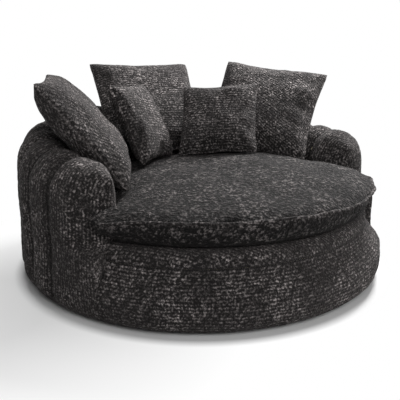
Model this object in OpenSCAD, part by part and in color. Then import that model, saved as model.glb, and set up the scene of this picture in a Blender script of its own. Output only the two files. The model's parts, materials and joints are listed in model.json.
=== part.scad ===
// Round upholstered armchair with a channelled wrap-round back, a loose crowned seat cushion and five pillows.
// The chair stands on z = 0 with its front towards -Y. Angles round the chair are measured from the front,
// and positive angles run towards +X.

/* [Base] */
// Diameter of the base where it is fullest
base_d = 1400; // [1360:10:1440]
// Height of the base's fullest line above the floor
full_z = 80; // [70:5:90]
// Height of the cover's lowest edge above the floor
cover_lift = 10; // [6:1:14]
// How far the cover rolls in below its fullest line
low_roll = 45; // [36:1:50]
// Height at which the front band starts to draw in
band_turn_z = 100; // [90:5:115]
// How far the front band draws in at its seam
band_in = 60; // [50:2:64]
// Height of the seam between the front band and the deck
band_seam_z = 212; // [206:1:216]
// Height of the deck that carries the seat cushion
deck_z = 270; // [262:1:280]
// Width of the deck's rolled front edge
deck_roll = 79; // [60:1:90]
// Thickness of the padding between the timber frame and the cover
skirt_pad = 80; // [76:1:90]
// Thickness of the cover cloth
cloth_t = 3; // [2:0.5:4]

/* [Timber frame] */
// Thickness of the plywood
ply_t = 18; // [15:1:21]
// Thickness of the bent board round the frame
board_t = 4; // [3:0.5:6]
// Height of the timber frame's top above the floor
frame_top = 222; // [218:1:226]
// Width of the bottom ring
ring_w = 90; // [80:5:110]
// Width of the cross rails
rail_w = 60; // [45:5:80]
// Number of posts between the rings
post_count = 12; // [8:1:16]
// Depth of a post from its inner to its outer face
post_d = 42; // [32:2:50]
// Width of a post along the ring
post_w = 50; // [40:2:60]
// Number of glides
glide_count = 10; // [6:1:14]
// Diameter of a glide
glide_d = 50; // [40:2:56]
// Height of a glide
glide_h = 24; // [20:1:30]

/* [Springs] */
// Number of sinuous springs
spring_count = 7; // [5:1:7]
// Distance between the springs
spring_gap = 112; // [90:2:114]
// Distance from the frame's outside to the springs' ends
spring_inset = 158; // [156:1:168]
// Width of a spring
spring_w = 50; // [40:2:60]
// Length of one bend of a spring
spring_pitch = 40; // [36:2:50]
// Thickness of the spring wire
wire_t = 4; // [3:0.5:5]
// Thickness of the felt over the springs
felt_t = 3; // [2:0.5:4]

/* [Arms and back] */
// Thickness of the wrap-round wall at its foot
wall_t = 220; // [210:2:226]
// Height of the left arm at its front
left_arm_h = 512; // [500:2:530]
// Height of the right arm at its front
right_arm_h = 490; // [484:2:520]
// Height of the back's rim
back_h = 560; // [545:5:590]
// Half of the angle between the arms' front ends
front_angle = 61.5; // [58:0.5:64]
// Depth of an arm's rounded nose, in degrees
nose_depth = 9.5; // [8:0.5:10]
// Height of the rim's rounding
rim_roll = 125; // [110:5:135]
// Lean of the wall's outside, in millimetres for each millimetre of height
wall_lean = 0.025; // [0.01:0.005:0.04]
// Angle of an arm's wide front channel
front_lobe = 18.5; // [16:0.5:22]
// Number of channels between the two front ones
channel_count = 16; // [12:1:18]
// Depth of the seams between channels
channel_depth = 16; // [8:1:18]
// Height of the back's timber rail
rail_z = 392; // [380:1:394]
// Thickness of the wall's foam inside and above the timber
wall_foam_t = 24; // [20:1:26]
// Number of plywood ribs that carry the rail
rib_count = 9; // [7:1:12]

/* [Seat cushion] */
// Radius of the cushion's front edge
seat_r = 655; // [640:1:665]
// Gap between the cushion's rear edge and the wall
seat_rear_gap = 8; // [7:0.5:12]
// Height of the seam at the front, above the deck
seat_seam_h = 88; // [80:1:96]
// Height of the crown above the seam
seat_crown = 80; // [64:2:90]
// Depth that the belly would have below the seam if the deck didn't flatten it
seat_belly = 145; // [120:5:160]
// Fall of the seam to the rear, for each millimetre of depth
seat_pitch = 0.04; // [0.03:0.005:0.045]
// Fall of the seam to the right, for each millimetre of width
seat_slope = 0.035; // [0.01:0.005:0.04]
// Gap between the cushion's ears and the arms
ear_gap = 8; // [7:0.5:12]
// Thickness of the cover and wadding over the foam core
wadding_t = 12; // [10:1:16]
// Length of the zip along the rear edge, in degrees
zip_angle = 90; // [60:5:110]
// Height of the zip's tape
zip_h = 12; // [8:1:14]

/* [Pillows] */
// Side of a large pillow
large_side = 465; // [440:5:470]
// Half thickness of a large pillow
large_half_t = 78; // [60:1:78]
// Side of a small pillow
small_side = 325; // [300:5:330]
// Half thickness of a small pillow
small_half_t = 58; // [44:1:58]
// How far the sides draw in between the corners, as a share of the side
draw_in = 0.06; // [0.03:0.01:0.08]
// Thickness of a pillow's cover and piping allowance over the insert
pillow_cover_t = 7; // [6:0.5:9]

/* [Hidden] */
$fn = 96;

cloth_colour = "#3b3536";
foam_colour = "#e8d9a8";
timber_colour = "#c9a36b";
board_colour = "#8a6a43";
steel_colour = "#9aa0a6";
fibre_colour = "#f1efe9";

// Clearance between neighbouring pieces
fit = 0.3;
base_r = base_d / 2;
frame_r = base_r - skirt_pad;
board_in_r = frame_r - board_t;
spring_field_r = frame_r - spring_inset;
ring_z = glide_h;
ring_top = ring_z + ply_t;
deck_ring_z = frame_top - ply_t;
wall_in_r = base_r - wall_t;

function polar(r, a, z) = [r * sin(a), -r * cos(a), z];
function clamp01(t) = min(1, max(0, t));
function ease(t) = (1 - cos(180 * clamp01(t))) / 2;
function flat(lists) = [for (l = lists) for (v = l) v];
function backwards(c) = [for (i = [len(c) - 1 : -1 : 0]) c[i]];
// An angle from 0 to 360 as one from -180 to 180
function signed(a) = a > 180 ? a - 360 : a;
function turned(faces) = [for (f = faces) [f[0], f[2], f[1]]];

// Revolves a profile of radius and height from angle a0 to a1.
module sector(a0, a1) {
    rotate([0, 0, a0 - 90]) rotate_extrude(angle = a1 - a0) children();
}
// The same from angle a0 round the back to the mirrored angle.
module back_sector(a0) {
    sector(a0, 360 - a0) children();
}
module around(angles) {
    for (a = angles) rotate([0, 0, a]) children();
}

// Radius of the base's outside at height z
function low_r(z) =
    base_r - low_roll * (1 - sqrt(1 - pow(clamp01((full_z - z) / (full_z - cover_lift)), 2)));
function band_r(z) = low_r(z) - band_in * ease((z - band_turn_z) / (band_seam_z - band_turn_z));
// Radius of the deck's rolled front edge at height z
roll_power = 2.4;
deck_flat_r = base_r - band_in - deck_roll;
function deck_r(z) =
    deck_flat_r + deck_roll * pow(1 - pow(clamp01((z - band_seam_z) / (deck_z - band_seam_z)), roll_power),
                                  1 / roll_power);
// Points of a chain moved square to it, to the left of its direction
function chain_normal(c, i) =
    let (d = c[min(len(c) - 1, i + 1)] - c[max(0, i - 1)]) [-d[1], d[0]] / norm(d);
function moved(c, by) = [for (i = [0 : len(c) - 1]) c[i] + by * chain_normal(c, i)];

/* Base */
screw_d = 5;
screw_head_d = 10;
screw_head_h = 3;
glide_inset = 14;
glide_r = frame_r - ring_w / 2 - glide_inset;
glide_angles = [for (i = [0 : glide_count - 1]) (i + 0.5) * 360 / glide_count];
glide_screw_z = 6;
glide_screw_l = 30;
post_r = board_in_r - 2 - post_d / 2;
post_angles = [for (i = [0 : post_count - 1]) i * 360 / post_count];
post_screw_l = 60;

// A countersunk screw that points up, with its head's face at height z
module screw_at(z, length) {
    translate([0, 0, z]) {
        cylinder(d1 = screw_head_d, d2 = screw_d, h = screw_head_h);
        cylinder(d = screw_d, h = length);
    }
}
// The hole for that screw, open below its head
module screw_hole(z, length) {
    translate([0, 0, z - fit]) {
        cylinder(d1 = screw_head_d + 2 * fit, d2 = screw_d + 2 * fit, h = screw_head_h + fit);
        cylinder(d = screw_d + 2 * fit, h = length + 2 * fit);
        translate([0, 0, -glide_h]) cylinder(d = screw_head_d + 2 * fit, h = glide_h + 0.01);
    }
}
module glide_places() {
    around(glide_angles) translate([0, -glide_r, 0]) children();
}
module post_places() {
    around(post_angles) translate([0, -post_r, 0]) children();
}
module glides() {
    foot_r = glide_d / 2;
    neck_r = foot_r - 7;
    color("#26262a") glide_places() difference() {
        rotate_extrude() polygon([[0, 0], [foot_r - 3, 0], [foot_r, 3], [foot_r, 8],
                                  [neck_r, glide_h - 4], [neck_r, glide_h], [0, glide_h]]);
        screw_hole(glide_screw_z, glide_screw_l);
    }
}
module glide_screws() {
    color(steel_colour) glide_places() screw_at(glide_screw_z, glide_screw_l);
}
dust_t = 1.5;
module dust_cover() {
    color("#2b2b2b") difference() {
        translate([0, 0, ring_z - fit - dust_t]) cylinder(r = board_in_r - fit, h = dust_t);
        glide_places() cylinder(d = glide_d + 2, h = 2 * glide_h);
    }
}
module bottom_ring() {
    color(timber_colour) difference() {
        translate([0, 0, ring_z]) cylinder(r = board_in_r - fit, h = ply_t);
        translate([0, 0, ring_z - 1]) cylinder(r = frame_r - ring_w, h = ply_t + 2);
        glide_places() screw_hole(glide_screw_z, glide_screw_l);
        post_places() screw_hole(ring_z + fit, post_screw_l);
    }
}
// A rail across the bottom ring, halved where it meets the other one
module cross_rail(turn, notch_z) {
    rotate([0, 0, turn]) difference() {
        intersection() {
            translate([-frame_r, -rail_w / 2, ring_z]) cube([2 * frame_r, rail_w, ply_t]);
            cylinder(r = frame_r - ring_w - fit, h = 2 * ring_top);
        }
        translate([-rail_w / 2 - fit, -rail_w, notch_z - fit / 2])
            cube([rail_w + 2 * fit, 2 * rail_w, ply_t / 2 + fit]);
    }
}
module cross_rails() {
    color(timber_colour) {
        cross_rail(0, ring_z);
        cross_rail(90, ring_z + ply_t / 2);
    }
}
module base_posts() {
    color(timber_colour) difference() {
        post_places() translate([-post_w / 2, -post_d / 2, ring_top])
            cube([post_w, post_d, deck_ring_z - ring_top]);
        post_places() screw_hole(ring_z + fit, post_screw_l);
    }
}
module post_screws() {
    color(steel_colour) post_places() screw_at(ring_z + fit, post_screw_l);
}
module base_board() {
    color(board_colour) difference() {
        translate([0, 0, ring_z]) cylinder(r = frame_r, h = frame_top - ring_z);
        translate([0, 0, ring_z - 1]) cylinder(r = board_in_r, h = frame_top);
    }
}
module deck_ring() {
    color(timber_colour) translate([0, 0, deck_ring_z]) difference() {
        cylinder(r = board_in_r - fit, h = ply_t);
        translate([0, 0, -1]) cylinder(r = spring_field_r - 14, h = ply_t + 2);
    }
}

/* Springs and deck */
clip_l = 22;
clip_w = 18;
clip_h = wire_t + 3.5;
wire_z = frame_top + 2;
spring_x = [for (i = [0 : spring_count - 1]) (i - (spring_count - 1) / 2) * spring_gap];
function spring_half(x) = sqrt(pow(spring_field_r, 2) - x * x);
// Centre line of a spring: bends with rounded corners, and straight ends that lie in the clips
function spring_line(x) =
    let (half = spring_half(x), bends = 2 * floor((half - 24) / spring_pitch),
         start = -bends / 2 * spring_pitch, side = spring_w / 2 - wire_t / 2, q = spring_pitch / 2 - 6)
    concat(
        [[x, -half], [x, start - 4]],
        flat([for (i = [0 : bends - 1])
            let (y = start + (i + 0.5) * spring_pitch, s = i % 2 == 0 ? 1 : -1)
            [[x + s * (side - 9), y - q], [x + s * side, y - q + 7], [x + s * side, y + q - 7],
             [x + s * (side - 9), y + q]]]),
        [[x, -start + 4], [x, half]]);
module seat_springs() {
    color(steel_colour) translate([0, 0, wire_z]) for (x = spring_x) {
        line = spring_line(x);
        linear_extrude(wire_t) polygon(concat(moved(line, wire_t / 2), backwards(moved(line, -wire_t / 2))));
    }
}
module spring_clips() {
    color("#6e737a") difference() {
        for (x = spring_x, s = [-1, 1])
            translate([x - clip_w / 2, s * (spring_half(x) - 2) - clip_l / 2, frame_top])
                cube([clip_w, clip_l, clip_h]);
        for (x = spring_x, s = [-1, 1])
            translate([x - wire_t / 2 - fit, s * spring_half(x) - clip_l, wire_z - fit])
                cube([wire_t + 2 * fit, 2 * clip_l, wire_t + 2 * fit]);
    }
}
felt_z = wire_z + wire_t + fit;
module spring_felt() {
    color("#55585c") translate([0, 0, felt_z]) cylinder(r = spring_field_r - 20, h = felt_t);
}
deck_foam_z = felt_z + felt_t + fit;
deck_disc_r = wall_in_r - 2 * fit;
deck_steps = 8;
deck_chain = [for (i = [0 : deck_steps])
    let (z = band_seam_z + (deck_z - band_seam_z) * sin(90 * i / deck_steps)) [deck_r(z), z]];
// The front edge stops just short of the arms' flat ends.
edge_gap_a = 0.03;
front_edge = front_angle - edge_gap_a;
// The deck is a round middle between the arms and a front part that ends in the roll.
module deck_foam() {
    top = deck_z - cloth_t - fit;
    inside = moved(deck_chain, cloth_t + fit);
    above = [for (p = inside) if (p[1] > frame_top + fit && p[1] < top) p];
    color(foam_colour) {
        translate([0, 0, deck_foam_z]) cylinder(r = deck_disc_r, h = top - deck_foam_z);
        sector(-front_edge, front_edge)
            polygon(concat([[wall_in_r, frame_top + fit], [above[0][0], frame_top + fit]], above,
                           [[deck_flat_r, top], [wall_in_r, top]]));
    }
}
module deck_cover() {
    under = moved(deck_chain, cloth_t);
    below = [for (p = under) if (p[1] < deck_z - cloth_t) p];
    color(cloth_colour) {
        translate([0, 0, deck_z - cloth_t]) cylinder(r = deck_disc_r, h = cloth_t);
        sector(-front_edge, front_edge)
            polygon(concat(deck_chain, [[wall_in_r, deck_z], [wall_in_r, deck_z - cloth_t],
                                        [deck_flat_r, deck_z - cloth_t]], backwards(below)));
    }
}
hem_r = frame_r - 18;
hem_z = cover_lift + 4;
band_steps = 12;
band_top_z = band_seam_z - fit;
band_chain = concat([[hem_r, hem_z]],
    [for (i = [0 : band_steps]) let (z = cover_lift + (band_top_z - cover_lift) * i / band_steps)
        [band_r(z), z]]);
module band_cover() {
    color(cloth_colour) sector(-front_edge, front_edge)
        polygon(concat(band_chain, backwards(moved(band_chain, cloth_t))));
}
module band_foam() {
    inside = [for (p = moved(band_chain, cloth_t + fit)) if (p[0] > frame_r + fit) p];
    color(foam_colour) sector(-front_edge, front_edge)
        polygon(concat(inside, [[frame_r + fit, inside[len(inside) - 1][1]], [frame_r + fit, ring_z]]));
}

/* Arms and back */
// Padding between the wall's foam and the inner face of its cover
inner_pad = 20;
rib_in_r = wall_in_r + wall_foam_t + inner_pad;
rib_out_r = board_in_r - fit;
arm_a = front_angle + nose_depth + 0.5;
// The boards and foam start behind the arm boards, whose thickness takes up this angle.
arm_board_angle = 2.3;
shell_a = arm_a + arm_board_angle;
rib_a0 = shell_a + 5;
rib_angles = [for (i = [0 : rib_count - 1]) rib_a0 + i * (360 - 2 * rib_a0) / (rib_count - 1)];
rail_screw_l = 45;
rail_screw_in = 25;
board_h = rail_z + ply_t - frame_top;
module rail_screw_places() {
    around(rib_angles) for (r = [rib_in_r + rail_screw_in, rib_out_r - rail_screw_in])
        translate([0, -r, rail_z + ply_t]) rotate([180, 0, 0]) children();
}
module back_ribs() {
    color(timber_colour) difference() {
        around(rib_angles) translate([-ply_t / 2, -rib_out_r + 1, frame_top])
            cube([ply_t, rib_out_r - rib_in_r - 2, rail_z - frame_top]);
        rail_screw_places() screw_hole(fit, rail_screw_l);
    }
}
module back_rail() {
    color(timber_colour) difference() {
        back_sector(shell_a) translate([rib_in_r, rail_z]) square([rib_out_r - rib_in_r, ply_t]);
        rail_screw_places() screw_hole(fit, rail_screw_l);
    }
}
module rail_screws() {
    color(steel_colour) rail_screw_places() screw_at(fit, rail_screw_l);
}
module back_inner_board() {
    color(board_colour) back_sector(shell_a) translate([rib_in_r - fit - board_t, frame_top])
        square([board_t, board_h]);
}
module back_outer_board() {
    color(board_colour) back_sector(shell_a) translate([board_in_r, frame_top])
        square([board_t, board_h]);
}
// Section of the wall's foam: radius and height, with rounded shoulders
foam_in_r = rib_in_r - board_t - wall_foam_t;
outer_foam = 20;
foam_out_r = frame_r + outer_foam;
foam_top = rail_z + ply_t + wall_foam_t;
foam_round = 50;
module foam_section(grow) {
    wide = foam_out_r - foam_in_r;
    translate([foam_in_r - grow, frame_top - grow]) {
        square([wide + 2 * grow, foam_top - foam_round - frame_top + grow]);
        translate([foam_round, 0]) square([wide - 2 * foam_round + 2 * grow, foam_top - frame_top + 2 * grow]);
    }
    for (r = [foam_in_r + foam_round, foam_out_r - foam_round])
        translate([r, foam_top - foam_round]) circle(r = foam_round + grow);
}
module arm_board() {
    color(timber_colour) rotate([0, 0, arm_a - 90]) rotate([90, 0, 0]) translate([0, 0, -ply_t])
        linear_extrude(ply_t) foam_section(0);
}
module right_arm_board() {
    arm_board();
}
module left_arm_board() {
    mirror([1, 0, 0]) arm_board();
}
module back_foam() {
    color(foam_colour) back_sector(shell_a) difference() {
        foam_section(0);
        translate([rib_in_r - board_t - 2 * fit, frame_top - 1])
            square([frame_r - rib_in_r + board_t + 3 * fit, board_h + fit + 1]);
    }
}
// Height of the rim at a signed angle. The left arm climbs to the back sooner than the right one.
left_climb = [62, 140];
right_climb = [95, 175];
function rim_h(a) =
    let (climb = a < 0 ? left_climb : right_climb, low = a < 0 ? left_arm_h : right_arm_h)
    low + (back_h - low) * ease((abs(a) - climb[0]) / (climb[1] - climb[0]));
// 1 in the seams between channels and 0 on their crowns
channel_a0 = front_angle + front_lobe;
channel_pitch = (360 - 2 * channel_a0) / channel_count;
seam_power = 4;
function seam_share(a) =
    let (b = abs(a), before = (channel_a0 - b) / (channel_pitch / 2), q = (b - channel_a0) / channel_pitch)
    b < channel_a0 ? pow(clamp01(1 - before), seam_power) : pow(abs(2 * (q - floor(q)) - 1), seam_power);
// Height above which an arm's end is rounded, and the height over which the rounding starts
join_z = deck_z - 30;
join_blend = 28;
function near_join(z) = ease((z - join_z) / join_blend);
// Angle at which an arm's rounded nose reaches radius r
nose_power = 1.6;
function nose_at(r) = front_angle + nose_depth * pow(abs(r - wall_mid_r) / wall_half, nose_power);
function wall_r(z) = z < full_z ? low_r(z) : base_r - wall_lean * (z - full_z);
wall_mid_r = (wall_r(rail_z) + wall_in_r) / 2;
wall_half = wall_mid_r - wall_in_r;
// The skirt's inside has flats between the sections, which stay clear of the round board.
skirt_in_r = frame_r + 1.2;
rim_turns = [0, 32, 61, 90, 119, 148, 180];
low_zs = [cover_lift, cover_lift + 22, full_z];
// Shares of a seam's depth on the outside, at the foot of the inside and on the inside above it
outer_seam = 0.8;
inner_foot_seam = 0.3;
inner_pinch = 0.3;
// How far the rim drops over an arm's nose, as a share of the rim's rounding
nose_drop = 0.45;
// The wall's cover at a signed angle, from its lowest edge outside over the rim to the foot of its inner face.
// It has this share of its full thickness there. A nose also has the points where its rounding starts.
function cover_section(a, share, nose) =
    let (zc = rim_h(a) - rim_roll, seam = seam_share(a) * channel_depth, join = join_z + join_blend,
         rise = rim_roll * (1 - nose_drop * (1 - share)) - seam,
         rim = [for (t = rim_turns) [wall_half * cos(t), zc + rise * sin(t)]],
         upper = nose ? concat([[wall_half, join]], rim, [[-wall_half, join]]) : rim)
    concat(
        [for (z = nose ? concat(low_zs, [join_z]) : low_zs) [wall_r(z) - seam * outer_seam, z]],
        [for (p = upper) let (k = 1 - (1 - share) * near_join(p[1]), pinch = p[0] < 0 ? inner_pinch : 1)
            [wall_mid_r + p[0] * k * (1 - pinch * seam / wall_half), p[1]]],
        [[wall_in_r + seam * inner_foot_seam, frame_top]]);
// The hollow round the foam, from the skirt's foot outside to the foot of the inner face. Flats go round the
// foam's curved shoulders, and the outer gap leaves room for the flats between a pad's sections.
outer_gap = 1;
shoulder_step = 30;
function shoulder(r, grow, turn) =
    [for (t = [0 : 2]) let (a = turn + (t + 0.5) * shoulder_step)
        [r, foam_top - foam_round] + (foam_round + grow) / cos(shoulder_step / 2) * [cos(a), sin(a)]];
foam_side = concat(
    [[foam_out_r + outer_gap, frame_top - fit]],
    shoulder(foam_out_r - foam_round, outer_gap, 0),
    shoulder(foam_in_r + foam_round, fit, 90));
hollow_chain = concat(
    [[skirt_in_r, hem_z], [skirt_in_r, frame_top - fit]], foam_side, [[foam_in_r - fit, frame_top]]);
// Shares of the full thickness at the sections in an arm's nose. The foremost is flat on the band low down.
nose_shares = [0.18, 0.37, 0.62, 0.82, 1];
nose_stations = [for (s = nose_shares) [front_angle + nose_depth * pow(s, nose_power), s]];
// Neighbouring channels are separate pads, each this far from the plane of the seam between them, in degrees.
seam_gap_a = 0.015;
// A front channel stays full until this far from its rear seam, in degrees.
channel_lead = 3;
right_front = concat(nose_stations, [[channel_a0 - channel_lead, 1], [channel_a0 - seam_gap_a, 1]]);
left_front = [for (s = backwards(right_front)) [360 - s[0], s[1]]];
function station_angle(s, z) =
    let (b = signed(s[0]), first = abs(b) < nose_stations[1][0])
    first ? sign(b) * (front_angle + (abs(b) - front_angle) * near_join(z)) : b;
// Faces of the strips between m rings of n points
function strips(m, n) =
    flat([for (j = [0 : m - 2], i = [0 : n - 1])
        let (a = j * n + i, b = j * n + (i + 1) % n) [[a, b, b + n], [a, b + n, a + n]]]);
// The solid front pad of an arm through its stations. Each end is closed by its skirt below and a fan above.
module front_pad(stations) {
    under = [[skirt_in_r, frame_top], [skirt_in_r, hem_z]];
    sections = [for (s = stations) [for (p = concat(cover_section(signed(s[0]), s[1], true), under))
        polar(p[0], station_angle(s, p[1]), p[1])]];
    n = len(sections[0]);
    m = len(sections);
    centre_z = join_z + join_blend / 2;
    ends = [for (s = [stations[0], stations[m - 1]])
        polar(wall_mid_r, station_angle(s, centre_z), centre_z)];
    function end_cap(base, centre) = concat(
        [for (i = [0 : 2]) [base + n - 1, base + i, base + i + 1]],
        [[base + n - 1, base + 3, base + n - 2]],
        [for (i = [3 : n - 3]) [centre, base + i, base + i + 1]],
        [[centre, base + n - 2, base + 3]]);
    polyhedron(concat(flat(sections), ends),
        concat(strips(m, n), turned(end_cap(0, m * n)), end_cap((m - 1) * n, m * n + 1)));
}
// A channel's pad between two seams, made round the foam. Its ends are closed by triangles between the cover's
// points and the hollow's: the edge from each of the cover's points to the next one meets this hollow point.
pad_shares = [0, 0.3, 0.7, 1];
end_joins = [0, 1, 2, 3, 4, 5, 5, 6, 8, 8, 9];
module channel_pad(k) {
    sections = [for (t = pad_shares)
        let (a = channel_a0 + k * channel_pitch + seam_gap_a + t * (channel_pitch - 2 * seam_gap_a))
        [for (p = concat(cover_section(signed(a), 1, false), backwards(hollow_chain))) polar(p[0], a, p[1])]];
    n = len(sections[0]);
    m = len(sections);
    last = len(end_joins) - 1;
    function end_cap(base) = flat([for (i = [0 : last]) concat(
        i == 0 ? [] : [for (j = [end_joins[i - 1] : 1 : end_joins[i] - 1])
            [base + i, base + n - 2 - j, base + n - 1 - j]],
        i == last ? [] : [[base + i, base + i + 1, base + n - 1 - end_joins[i]]])]);
    polyhedron(flat(sections), concat(strips(m, n), turned(end_cap(0)), end_cap((m - 1) * n)));
}
// The arms' front pads are hollow from the arm boards to past their rear seams.
hollow_over = 0.5;
module back_wrap() {
    hollow = concat(foam_side, [[foam_in_r - fit, frame_top - fit]]);
    a0 = arm_a - edge_gap_a;
    a1 = channel_a0 + hollow_over;
    color(cloth_colour) {
        for (k = [0 : channel_count - 1]) channel_pad(k);
        difference() {
            front_pad(right_front);
            sector(a0, a1) polygon(hollow);
        }
        difference() {
            front_pad(left_front);
            sector(360 - a1, 360 - a0) polygon(hollow);
        }
    }
}

/* Seat cushion */
seat_rear_r = wall_in_r - seat_rear_gap;
seat_low_z = deck_z + fit;
function seam_z(x, y) = deck_z + seat_seam_h - seat_slope * x - seat_pitch * (y + seat_r);
// Half of the outline, as radius and angle: the front arc, the ear, the hollow round the arm's nose and
// the rear arc
ear_a = front_angle + 0.9;
front_steps = 8;
rear_steps = 11;
hollow_steps = 4;
rear_a0 = arm_a + 3;
hollow_r0 = seat_r - 37;
hollow_r1 = seat_rear_r + 36;
hollow_rs = [for (i = [0 : hollow_steps]) hollow_r0 + (hollow_r1 - hollow_r0) * i / hollow_steps];
half_outline = concat(
    [for (i = [0 : front_steps]) [seat_r, i * ear_a / front_steps]],
    [[seat_r - 4, ear_a + 1.2], [seat_r - 14, ear_a + 1.7]],
    [for (r = hollow_rs) [r, nose_at(r) - ear_gap / r * 180 / PI]],
    [[seat_rear_r + 2, rear_a0 - 4]],
    [for (i = [0 : rear_steps]) [seat_rear_r, rear_a0 + i * (180 - rear_a0) / rear_steps]]);
// Each outline point has a bent spoke: from the middle to an inner circle, to an elbow just inside the outline
// and out to the point. The bend keeps the rings apart where the outline turns back under the ear.
hub_r = 300;
elbow_in = 40;
ear_elbow_a = ear_a - 3.4;
rear_i = len(half_outline) - rear_steps - 1;
ear_hub_a = 55;
function hub_a(i) =
    i <= front_steps ? i * ear_hub_a / front_steps
    : i < rear_i ? ear_hub_a + (i - front_steps) * (rear_a0 - ear_hub_a) / (rear_i - front_steps)
    : half_outline[i][1];
function elbow_a(i) =
    i <= front_steps ? i * ear_elbow_a / front_steps
    : i <= front_steps + 3 ? ear_elbow_a + 0.4 * (i - front_steps)
    : i < rear_i ? half_outline[i][1] - 1.4
    : half_outline[i][1];
function elbow_r(i) = half_outline[i][0] - (i > front_steps + 2 && i < rear_i ? elbow_in - 15 : elbow_in);
elbow_share = 0.8;
function half_spoke(i, share) =
    let (o = half_outline[i], hub = polar(hub_r, hub_a(i), 0), elbow = polar(elbow_r(i), elbow_a(i), 0))
    share <= 0.5 ? hub * 2 * share
    : share <= elbow_share ? hub + (elbow - hub) * (share - 0.5) / (elbow_share - 0.5)
    : elbow + (polar(o[0], o[1], 0) - elbow) * (share - elbow_share) / (1 - elbow_share);
half_n = len(half_outline);
seat_n = 2 * half_n - 2;
function spoke(i, share) =
    i < half_n ? half_spoke(i, share) : let (p = half_spoke(seat_n - i, share)) [-p[0], p[1], 0];
// The crown is higher to the right and to the front by these shares, and this power rounds its edge.
crown_right = 0.55;
crown_front = 0.5;
crown_round = 0.7;
// How far out a point lies, from 0 in the middle to 1 on the seam
elbow_out = 0.93;
function out_share(share) = lookup(share, [[0, 0], [0.5, 0.5], [elbow_share, elbow_out], [1, 1]]);
function crown_top(p, out) =
    seam_z(p[0], p[1])
    + seat_crown * pow(1 - out * out, crown_round) * (1 + (crown_right * p[0] - crown_front * p[1]) / seat_r);
function belly_low(p, out) = max(seat_low_z, seam_z(p[0], p[1]) - seat_belly * sqrt(1 - pow(out, 6)));
// Closes a stack of rings, each of n points, with its middle points last.
module ringed_form(rings, n, top_mid, low_mid) {
    m = len(rings);
    caps = [for (i = [0 : n - 1]) [m * n, (i + 1) % n, i]];
    bases = [for (i = [0 : n - 1]) [m * n + 1, (m - 1) * n + i, (m - 1) * n + (i + 1) % n]];
    polyhedron(concat(flat(rings), [top_mid, low_mid]), concat(strips(m, n), caps, bases));
}
top_shares = [0.25, 0.5, 0.65, 0.8, 0.9, 0.97];
low_shares = [0.96, 0.85, 0.7, 0.5];
module seat_shell() {
    tops = [for (s = top_shares) [for (i = [0 : seat_n - 1])
        let (p = spoke(i, s)) [p[0], p[1], crown_top(p, out_share(s))]]];
    seam = [for (i = [0 : seat_n - 1]) let (p = spoke(i, 1)) [p[0], p[1], seam_z(p[0], p[1])]];
    lows = [for (s = low_shares) [for (i = [0 : seat_n - 1])
        let (p = spoke(i, s)) [p[0], p[1], belly_low(p, out_share(s))]]];
    ringed_form(concat(tops, [seam], lows), seat_n,
                [0, 0, crown_top([0, 0], 0)], [0, 0, belly_low([0, 0], 0)]);
}
// The foam core follows the crown inside the wadding, and its outline cuts the corners behind the ears.
core_steps = 48;
core_front_a = 55;
core_rear_a = 70;
core_front_r = seat_r - 45;
core_rear_r = seat_rear_r - 30;
function core_r(a) = lookup(abs(a), [[core_front_a, core_front_r], [core_rear_a, core_rear_r]]);
module core_form(grow) {
    function ring(share, top) = [for (i = [0 : core_steps - 1])
        let (a = signed(i * 360 / core_steps), p = polar((core_r(a) + grow) * share, a, 0),
             out = elbow_out * share)
        [p[0], p[1], top ? crown_top(p, out) - wadding_t + grow : belly_low(p, out) + wadding_t - grow]];
    mid = [0, 0];
    ringed_form([ring(0.5, true), ring(0.8, true), ring(1, true), ring(1, false), ring(0.6, false)], core_steps,
                [0, 0, crown_top(mid, 0) - wadding_t + grow], [0, 0, belly_low(mid, 0) + wadding_t - grow]);
}
core_fit = 0.5;
module seat_cover() {
    color(cloth_colour) difference() {
        seat_shell();
        core_form(core_fit);
    }
}
module seat_core() {
    color(foam_colour) core_form(0);
}
// The zip lies along the rear seam, so its frame is tilted as the seam is.
seam_tilt = [atan(-seat_pitch), atan(seat_slope), 0];
zip_in_r = seat_rear_r + 1;
zip_t = 1.5;
slider_a = 180 - zip_angle / 2 + 3;
module seam_frame() {
    translate([0, 0, seam_z(0, 0)]) rotate(seam_tilt) children();
}
module seat_zip() {
    color("#222226") seam_frame() sector(180 - zip_angle / 2, 180 + zip_angle / 2)
        translate([zip_in_r, -zip_h / 2]) square([zip_t, zip_h]);
}
module zip_slider() {
    out_r = zip_in_r + zip_t + fit;
    color(steel_colour) seam_frame() sector(slider_a - 0.7, slider_a + 0.7)
        translate([out_r, -4]) square([2.2, 8]);
}

/* Pillows */
// Side, half thickness, centre, and the way the front faces, its lean and its roll
pillow_left = [large_side, large_half_t, [-436, 93.4, 562.8], [65, 39.5, -2]];
pillow_back = [large_side, large_half_t, [16.7, 429.8, 560.9], [-8, 41, -3]];
pillow_right = [large_side, large_half_t, [414, 133.5, 559.4], [-48, 46, -7]];
pillow_small_left = [small_side, small_half_t, [-145.7, 202.7, 543.9], [41.5, 26, -6]];
pillow_small_centre = [small_side, small_half_t, [169.6, 122.2, 536.2], [-48.5, 38, 6]];
crown_power = 2.6;
function pillow_thickness(s, t) = sqrt(max(0, (1 - pow(abs(s), crown_power)) * (1 - pow(abs(t), crown_power))));
function pillow_point(s, t, half, thick, face) =
    [half * s * (1 - draw_in * (1 - t * t)), face * thick * pillow_thickness(s, t),
     half * t * (1 - draw_in * (1 - s * s))];
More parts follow.
